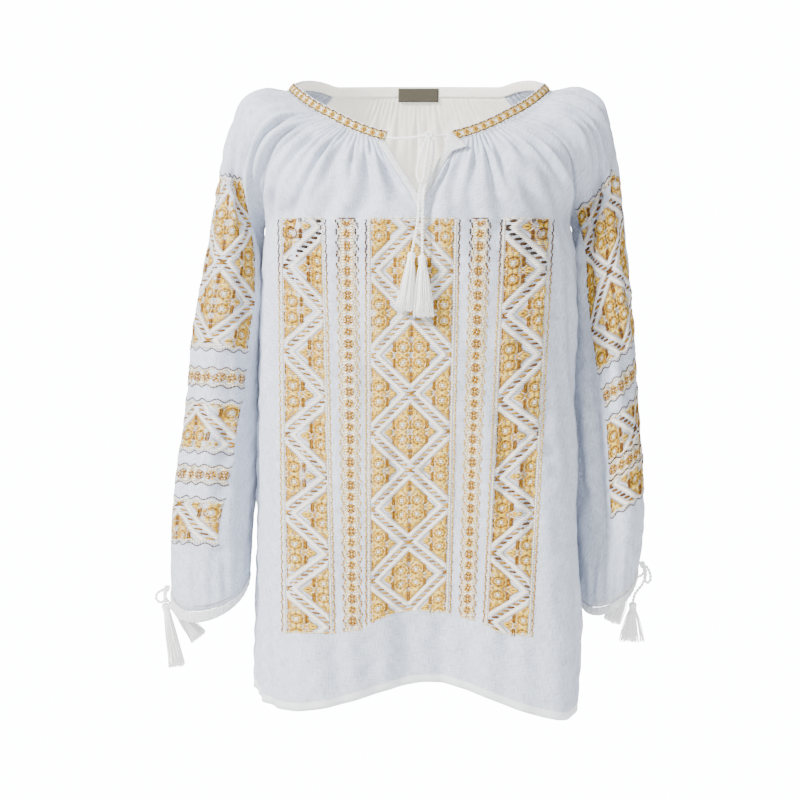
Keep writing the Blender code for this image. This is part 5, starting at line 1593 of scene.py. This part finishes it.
def sew(name, chart, rows, sides=6):
    """Lays a list of stitches on the cloth through its chart, as one piece."""
    x0, y0, x1, y1, width, tone, lift = np.array(rows).T
    (start, _), (end, _) = chart.places(x0, y0), chart.places(x1, y1)
    middle, out = chart.places(0.5 * (x0 + x1), 0.5 * (y0 + y1))
    along = end - start
    length = np.linalg.norm(along, axis=1)
    keep = (length > SHORTEST_SEWN) & (length < LONGEST_SEWN)
    start, end, middle, out, along, length, width, tone, lift = (
        part[keep] for part in (start, end, middle, out, along, length, width, tone, lift))
    height = sizes().thread_height
    raised = height * (0.5 * lift[:, None] + 0.5)
    middle = 0.25 * (start + end) + 0.5 * middle + out * raised
    mesh = bpy.data.meshes.new(name)
    mesh.from_pydata(middle.tolist(), [], [])
    size = np.stack((length * 1.12, width * PIXEL, height * (1.2 + 0.6 * lift)), axis=1)
    for label, kind, key, values in (
        ("along", "FLOAT_VECTOR", "vector", along), ("out", "FLOAT_VECTOR", "vector", out),
        ("size", "FLOAT_VECTOR", "vector", size),
        ("tone", "FLOAT", "value", np.clip(tone, WHITE, DARK)),
    ):
        layer = mesh.attributes.new(label, kind, "POINT")
        layer.data.foreach_set(key, np.ascontiguousarray(values, dtype=np.float32).ravel())
    piece = place_object(name, mesh)
    tree = bpy.data.node_groups.get("Stitches") or stitch_tree()
    pattern = piece.modifiers.new("Stitches", "NODES")
    pattern.node_group = tree
    sockets = {
        item.name: item.identifier for item in tree.interface.items_tree if item.in_out == "INPUT"}
    pattern[sockets["Sides"]] = sides
    pattern[sockets["Thread"]] = material("silk_thread")
    apply_modifiers(piece)
    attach(piece, "root")


# The rows between which the front's columns of embroidery run
COLUMNS_TOP, COLUMNS_LOW = 219.5, 640.0


def front_stitches():
    """Five upright columns of embroidery, charted at the photograph's columns and rows."""
    foot_columns = (283, 333, 344, 361, 369, 396, 412, 448, 459, 474, 484, 498, 532)
    foot_rows = (631, 632, 630, 629, 622, 611, 609, 611, 615, 619, 622, 631, 635)
    parts = {}

    def column(name, rows, plain, upper, lower, corners=None):
        """Moves stitches to the photograph's column; corners are its lattice rows on both sides."""
        kept = parts.setdefault(name, Stitches())

        def warp(x, y):
            across = (x - plain[0]) / (plain[1] - plain[0])
            if corners:
                left, right = (
                    np.interp(y, first + 2.0 * HALF_HIGH * np.arange(len(seen)), seen)
                    for first, seen in corners)
                y = left + (right - left) * across
            share = (y - 220.0) / 405.0
            left = upper[0] + (lower[0] - upper[0]) * share
            right = upper[1] + (lower[1] - upper[1]) * share
            return left + across * (right - left), y

        moved = Stitches()
        for x0, y0, x1, y1, *look in rows:
            moved.lay(*warp(x0, y0), *warp(x1, y1), *look)
        kept.rows += [row for row in moved.rows if 0.5 * (row.y0 + row.y1) > top]

    top, low = COLUMNS_TOP, COLUMNS_LOW
    centre = Stitches()
    centre.diaper(411.0, 350.9, 0.0)
    rows = centre.clipped(371.0, 451.0, 0.0, 720.0)
    lines = Stitches()
    for x, side in ((369.3, -1.0), (452.7, 1.0)):
        lines.upright_line(x, top, low, 3.0, 2.3, WHITE + 0.10)
        lines.fringe(x + 2.9 * side, side, top, low)
    place = (367.0, 455.0), (367.0, 458.5), (367.0, 449.0)
    column("middle", rows, *place, (
        (194.1, (184.0, 270.3, 355.9, 433.2, 509.6, 581.9, 652.0)),
        (194.1, (187.0, 271.0, 354.5, 431.0, 505.4, 571.4, 636.0))))
    column("middle", lines.rows, *place)

    for upper, lower, shade, first, corners in (
        ((279.0, 325.0), (283.0, 334.0), 0.02, 395.0, (
            (199.0, (181.0, 265.7, 350.3, 433.9, 512.0, 587.8, 663.0)),
            (159.8, (144.0, 227.8, 312.4, 397.0, 478.5, 555.1, 627.6, 700.0)))),
        ((502.0, 553.0), (484.0, 532.0), 0.06, 434.2, (
            (159.8, (143.0, 228.2, 316.6, 401.5, 479.6, 553.1, 620.5, 695.0)),
            (199.0, (182.0, 267.8, 353.1, 432.9, 512.6, 593.0, 665.0)))),
    ):
        side = Stitches(292.0)
        side.diaper(283.6, first, shade)
        rows = side.clipped(283.6, 320.0, 0.0, 720.0)
        lines = Stitches()
        for x, turn in ((282.4, -1.0), (321.2, 1.0)):
            lines.upright_line(x, top, low, 3.0, 2.3, WHITE + 0.10)
            lines.fringe(x + 2.2 * turn, turn, top, low)
        column("sides", rows, (280.2, 323.4), upper, lower, corners)
        column("sides", lines.rows, (280.2, 323.4), upper, lower)

    for upper, lower in (((336.0, 357.5), (344.0, 361.5)), ((470.5, 490.5), (459.0, 474.5))):
        chain = Stitches()
        chain.small_rosettes([(346.0, 221.5 + (12.45 - 0.0205 * k) * k) for k in range(35)])
        for x in (337.4, 354.6):
            away = 2.2 if x < 346.0 else -2.2
            chain.upright_line(x + away, top, low, 2.8, 2.0, LIGHT - 0.12, 1.3, 11.1)
            chain.fringe(x, -1.0 if x < 346.0 else 1.0, top, low, 1.5, 11.1)
        for k in range(140):
            chain.lay(338.6, top + 3.0 * k, 353.4, top + 3.0 * k, 3.6, LIGHT - 0.17, 0.0)
        column("chains", chain.rows, (336.0, 356.0), upper, lower)

    for name, left, right in (
        ("sides", 279, 325), ("chains", 336, 357), ("middle", 367, 458),
        ("chains", 471, 490), ("sides", 502, 553),
    ):
        shade = DARK - 0.2 if name == "chains" else WHITE + 0.1
        parts[name].lay(left + 1, 218.2, right - 1, 218.2, 1.3, shade)
    for name, left, right in (
        ("sides", 283, 334), ("chains", 344, 361), ("middle", 368, 449),
        ("chains", 459, 474), ("sides", 484, 532),
    ):
        for x in np.arange(left, right, 2.4):
            y, after = np.interp((x, x + 2.4), foot_columns, foot_rows)
            parts[name].lay(x, y + 0.8, x + 2.4, after + 0.8, 1.6, WHITE + 0.15)

    def above_foot(row):
        foot = np.interp(0.5 * (row.x0 + row.x1), foot_columns, foot_rows)
        return 0.5 * (row.y0 + row.y1) < foot + 1.0

    return {name: [row for row in kept.rows if above_foot(row)] for name, kept in parts.items()}


def sleeve_stitches(blocks, bands, centre_row, deep):
    """A strip down the sleeve: lattice blocks with bands of small flowers between them."""
    kept = Stitches()
    for top, bottom, shift in blocks:
        block = Stitches()
        block.diaper(40.0, centre_row + shift, deep)
        kept.rows += block.clipped(0.0, STRIP_WIDTH, top + 4.0, bottom - 4.0)
        for edge, inwards in ((top, 3.2), (bottom, -3.2)):
            kept.level_wave(edge, -1.0, STRIP_WIDTH + 1.0, 1.7, 13.0, 1.3, DARK - 0.12)
            kept.level_wave(edge + inwards, 0.0, STRIP_WIDTH, 1.4, 13.0, 2.6, WHITE + 0.08)
    for middle in bands:
        kept.small_rosettes([(5.0 + 10.0 * k, middle) for k in range(8)])
        for k in range(-2, 3):
            kept.lay(0.0, middle + 2.8 * k, STRIP_WIDTH, middle + 2.8 * k, 3.4, LIGHT - 0.17, 0.0)
        for side in SIDES:
            kept.level_wave(middle + 7.2 * side, 0.0, STRIP_WIDTH, 1.3, 12.0, 1.6, WHITE + 0.12)
            edge = middle + 9.0 * side
            kept.level_wave(edge, -1.0, STRIP_WIDTH + 1.0, 1.5, 12.0, 1.2, DARK - 0.15)
    return kept.rows


def sew_band():
    """A chain of small diamonds round the band, with a zigzag along each edge."""
    columns, rows, diamond = 336, 8, 10.5 * MM
    grid = band_grid(columns, rows)
    chart = Chart(grid[::-1], 0.0, 0.0, (1.0, 1.0))
    outwards = (chart.normals[..., :2] * chart.grid[..., :2]).sum(axis=-1)
    chart.normals = chart.normals * np.sign(outwards)[..., None]
    count = int(round(float(lengths_so_far(grid[0])[-1]) / diamond))
    pitch = columns / count
    wide = pitch / diamond * PIXEL
    tall = rows / sizes().band_height * PIXEL
    chain = Stitches()
    for k in range(count):
        x, y = (k + 0.5) * pitch, 0.5 * rows
        for step in range(-3, 4):
            half = (4.0 - abs(step)) * wide * 0.95
            shade = GOLD - 0.06 + 0.08 * (step % 2)
            chain.lay(x - half, y + step * 0.9 * tall, x + half, y + step * 0.9 * tall, 1.2, shade)
        chain.lay(x - 0.9 * wide, y, x + 0.9 * wide, y, 3.6, BROWN + 0.08, 1.4)
        for left in (-3.6, 3.0):
            chain.lay(x + left * wide, y, x + (left + 0.6) * wide, y, 2.6, LIGHT - 0.08, 1.4)
        for side in SIDES:
            for lean in SIDES:
                far, near = x + lean * 0.5 * pitch, x + lean * 1.2 * wide
                chain.lay(x, y + side * 4.3 * tall, far, y + side * 2.9 * tall, 1.7, BROWN + 0.10)
                chain.lay(far, y + side * 2.4 * tall, near, y + side * 3.0 * tall, 1.4, LIGHT)
            edge = y + side * 4.9 * tall
            for start in (x - 0.5 * pitch, x):
                chain.lay(start, edge, start + 0.5 * pitch, edge, 0.9, WHITE)
    sew("neck_band_embroidery", chart, chain.rows)


def panel_chart(grid, side):
    """Reads a panel's own rows and columns of places, on its outer face."""
    return Chart(on_outer_face(grid, side), 0.0, 0.0, (1.0, 1.0), side)


def sew_seams():
    """Running stitches along the hems, the raglan seams and the casings."""
    for name, (first, second) in (("front", front_grids()), ("back", back_grids())):
        grid = np.concatenate((first, second[:, -2::-1]), axis=1)
        down = Cloth(grid).down
        line = Stitches()
        for column in np.arange(1.0, grid.shape[1] - 2.0, 1.35):
            here = down[:, int(column)]
            row = float(np.interp(here[-1] - HEM_WIDTH, here, np.arange(len(grid))))
            line.lay(column, row, column + 0.8, row, 0.55, 0.06, 0.0)
        for seam in (2.2, grid.shape[1] - 3.2):
            for row in np.arange(1.0, 46.0, 0.42):
                line.lay(seam, row, seam, row + 0.24, 0.5, 0.08, 0.0)
        sew(f"{name}_stitching", panel_chart(grid, 1.0), line.rows, 4)
    for side, turn in (("left", -1.0), ("right", 1.0)):
        grid = sleeve_round(side)
        line = Stitches()
        last = len(grid) - 1.6
        for column in np.arange(1.0, grid.shape[1] - 2.0, 1.1):
            tone = BROWN if side == "left" and column < 46.0 else 0.10
            line.lay(column, last, column + 0.6, last - 0.25, 0.75, tone, 0.3)
        sew(f"sleeve_{side}_stitching", panel_chart(grid, turn), line.rows, 4)


def aim_object(piece, place):
    """Puts a camera or a lamp in its place, turned towards the blouse."""
    piece.location = place
    piece.rotation_euler = (AIM - Vector(place)).to_track_quat("-Z", "Y").to_euler()
    return piece


# Operators, in the order in which the blouse is dressed

class BLOUSE_OT_camera(bpy.types.Operator):
    """Sets up the camera at the photograph's angle."""
    bl_idname = "blouse.camera"
    bl_label = "Camera"

    def execute(self, context):
        data = bpy.data.cameras.new("view")
        data.sensor_width = 36.0
        data.angle = VIEW_ANGLE
        context.scene.camera = aim_object(place_object("view", data), CAMERA_PLACE)
        return {"FINISHED"}


class BLOUSE_OT_drawstrings(bpy.types.Operator):
    """Makes the neck and cuff drawstrings with their knots and tassels."""
    bl_idname = "blouse.drawstrings"
    bl_label = "Drawstrings"

    def execute(self, context):
        cord = sizes().cord
        names = ("neck_knot", "cuff_left_knot", "cuff_right_knot")
        knots = {name: make_knot(name, cord) for name in names}
        for name, nodes, knot, tassel in CORD_RUNS:
            with_pieces = [make_tassel(tassel, sizes().tassel_threads)]
            if name.endswith("_a"):
                with_pieces.append(knots[knot])
            places = cord_way(nodes, knot, tassel)
            way, length = smooth_way(places, 0.55 * MM)
            points, faces = [], []
            twist(way, cord, points, faces)
            piece = make_piece(name, points, faces, "cotton_cord")
            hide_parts(*nodes)
        return {"FINISHED"}


class BLOUSE_OT_front(bpy.types.Operator):
    """Makes the front, gathered into the band and cut with a slit."""
    bl_idname = "blouse.front"
    bl_label = "Front"

    def execute(self, context):
        make_panel(
            "front_cloth", "front", front_grids(), sizes().cloth_wall, "linen", hem_width=HEM_WIDTH)
        return {"FINISHED"}


class BLOUSE_OT_back(bpy.types.Operator):
    """Makes the back, gathered into the band."""
    bl_idname = "blouse.back"
    bl_label = "Back"

    def execute(self, context):
        make_panel(
            "back_cloth", "back", back_grids(), sizes().cloth_wall, "linen", "linen_inside",
            hem_width=HEM_WIDTH)
        return {"FINISHED"}


class BLOUSE_OT_sleeves(bpy.types.Operator):
    """Makes the raglan sleeves and the casings that close them."""
    bl_idname = "blouse.sleeves"
    bl_label = "Sleeves and casings"

    def execute(self, context):
        for side in ("left", "right"):
            name, grids = f"sleeve_{side}", sleeve_grids(side)
            make_panel(f"{name}_cloth", name, grids, sizes().cloth_wall, "linen")
            make_casing(side)
        return {"FINISHED"}


class BLOUSE_OT_neck(bpy.types.Operator):
    """Makes the neck band, the slit's facings and the label."""
    bl_idname = "blouse.neck"
    bl_label = "Neck band, facings and label"

    def execute(self, context):
        make_band()
        make_facing("left", LEFT_FACING)
        make_facing("right", RIGHT_FACING)
        make_label()
        return {"FINISHED"}


class BLOUSE_OT_stage(bpy.types.Operator):
    """Lays a pale floor and sets soft studio light."""
    bl_idname = "blouse.stage"
    bl_label = "Stage"

    def execute(self, context):
        mesh = bpy.data.meshes.new("floor")
        wheel = [TURN * k / 96 for k in range(96)]
        mesh.from_pydata(
            [(1.35 * math.cos(turn), 1.35 * math.sin(turn), -1.15) for turn in wheel],
            [], [tuple(range(96))])
        mesh.materials.append(floor_material("floor_paper"))
        place_object("floor", mesh)
        world = bpy.data.worlds.new("studio")
        world.use_nodes = True
        tree = world.node_tree
        background = tree.nodes["Background"]
        background.inputs["Color"].default_value = (0.95, 0.97, 1.0, 1.0)
        path = tree.nodes.new("ShaderNodeLightPath")
        bright = tree.nodes.new("ShaderNodeMapRange")
        bright.inputs["To Min"].default_value = 0.62
        bright.inputs["To Max"].default_value = 16.0
        tree.links.new(path.outputs["Is Camera Ray"], bright.inputs["Value"])
        tree.links.new(bright.outputs[0], background.inputs["Strength"])
        context.scene.world = world
        for name, place, size, power, tint in (
            ("key", (-1.9, -1.5, 1.2), 0.55, 235.0, (1.0, 0.99, 0.97)),
            ("fill", (2.1, -1.9, 0.2), 1.8, 30.0, (0.92, 0.96, 1.0)),
            ("front", (0.1, -2.3, 1.5), 1.2, 34.0, (1.0, 0.98, 0.95)),
            ("rim", (0.6, 2.0, 1.3), 1.6, 22.0, (1.0, 0.99, 0.97)),
        ):
            light = bpy.data.lights.new(name, "AREA")
            light.size, light.energy, light.color = size, power, tint
            aim_object(place_object(name, light), place)
        return {"FINISHED"}


class BLOUSE_OT_embroidery(bpy.types.Operator):
    """Sews the embroidery of the front and the sleeves."""
    bl_idname = "blouse.embroidery"
    bl_label = "Embroidery"

    def execute(self, context):
        chart = front_chart()
        for name, rows in front_stitches().items():
            sew_layers(f"front_embroidery_{name}", chart, rows)
        rows = sleeve_stitches(
            ((178.0, 352.0, 0.0), (402.0, 454.0, -15.0), (499.0, 545.0, 6.5)),
            (379.0, 476.0), 225.0, 0.04)
        sew_layers("sleeve_left_embroidery", sleeve_chart("left", LEFT_STRIP, 0.06, 1.35), rows)
        rows = sleeve_stitches(
            ((209.0, 374.0, 0.0), (420.0, 464.0, 0.0), (480.0, 518.0, 0.0)),
            (398.0, 472.0), 252.0, 0.10)
        sew_layers("sleeve_right_embroidery", sleeve_chart("right", RIGHT_STRIP, 0.50, 1.0), rows)
        return {"FINISHED"}


class BLOUSE_OT_sewing(bpy.types.Operator):
    """Sews the neck band's motif, the hem, the casings and the seams."""
    bl_idname = "blouse.sewing"
    bl_label = "Sewing"

    def execute(self, context):
        sew_band()
        sew_seams()
        return {"FINISHED"}


STEPS = (
    BLOUSE_OT_camera, BLOUSE_OT_drawstrings, BLOUSE_OT_front, BLOUSE_OT_back, BLOUSE_OT_sleeves,
    BLOUSE_OT_neck, BLOUSE_OT_embroidery, BLOUSE_OT_sewing, BLOUSE_OT_stage,
)


class BLOUSE_PT_panel(bpy.types.Panel):
    """Lists the blouse's sizes, colours and pieces."""
    bl_idname = "BLOUSE_PT_panel"
    bl_label = "Blouse"
    bl_space_type = "VIEW_3D"
    bl_region_type = "UI"
    bl_category = "Blouse"

    def draw(self, context):
        for group in (context.scene.blouse_sizes, context.scene.blouse_colours):
            for name in group.bl_rna.properties.keys():
                if name not in ("rna_type", "name"):
                    self.layout.prop(group, name)
        for step in STEPS:
            self.layout.operator(step.bl_idname)


CLASSES = (BlouseSizes, BlouseColours) + STEPS + (BLOUSE_PT_panel,)


def register():
    for made in CLASSES:
        bpy.utils.register_class(made)
    bpy.types.Scene.blouse_sizes = bpy.props.PointerProperty(type=BlouseSizes)
    bpy.types.Scene.blouse_colours = bpy.props.PointerProperty(type=BlouseColours)


def unregister():
    del bpy.types.Scene.blouse_sizes
    del bpy.types.Scene.blouse_colours
    for made in reversed(CLASSES):
        bpy.utils.unregister_class(made)


def main():
    register()
    for step in STEPS:
        group, name = step.bl_idname.split(".")
        getattr(getattr(bpy.ops, group), name)()


if __name__ == "__main__":
    main()
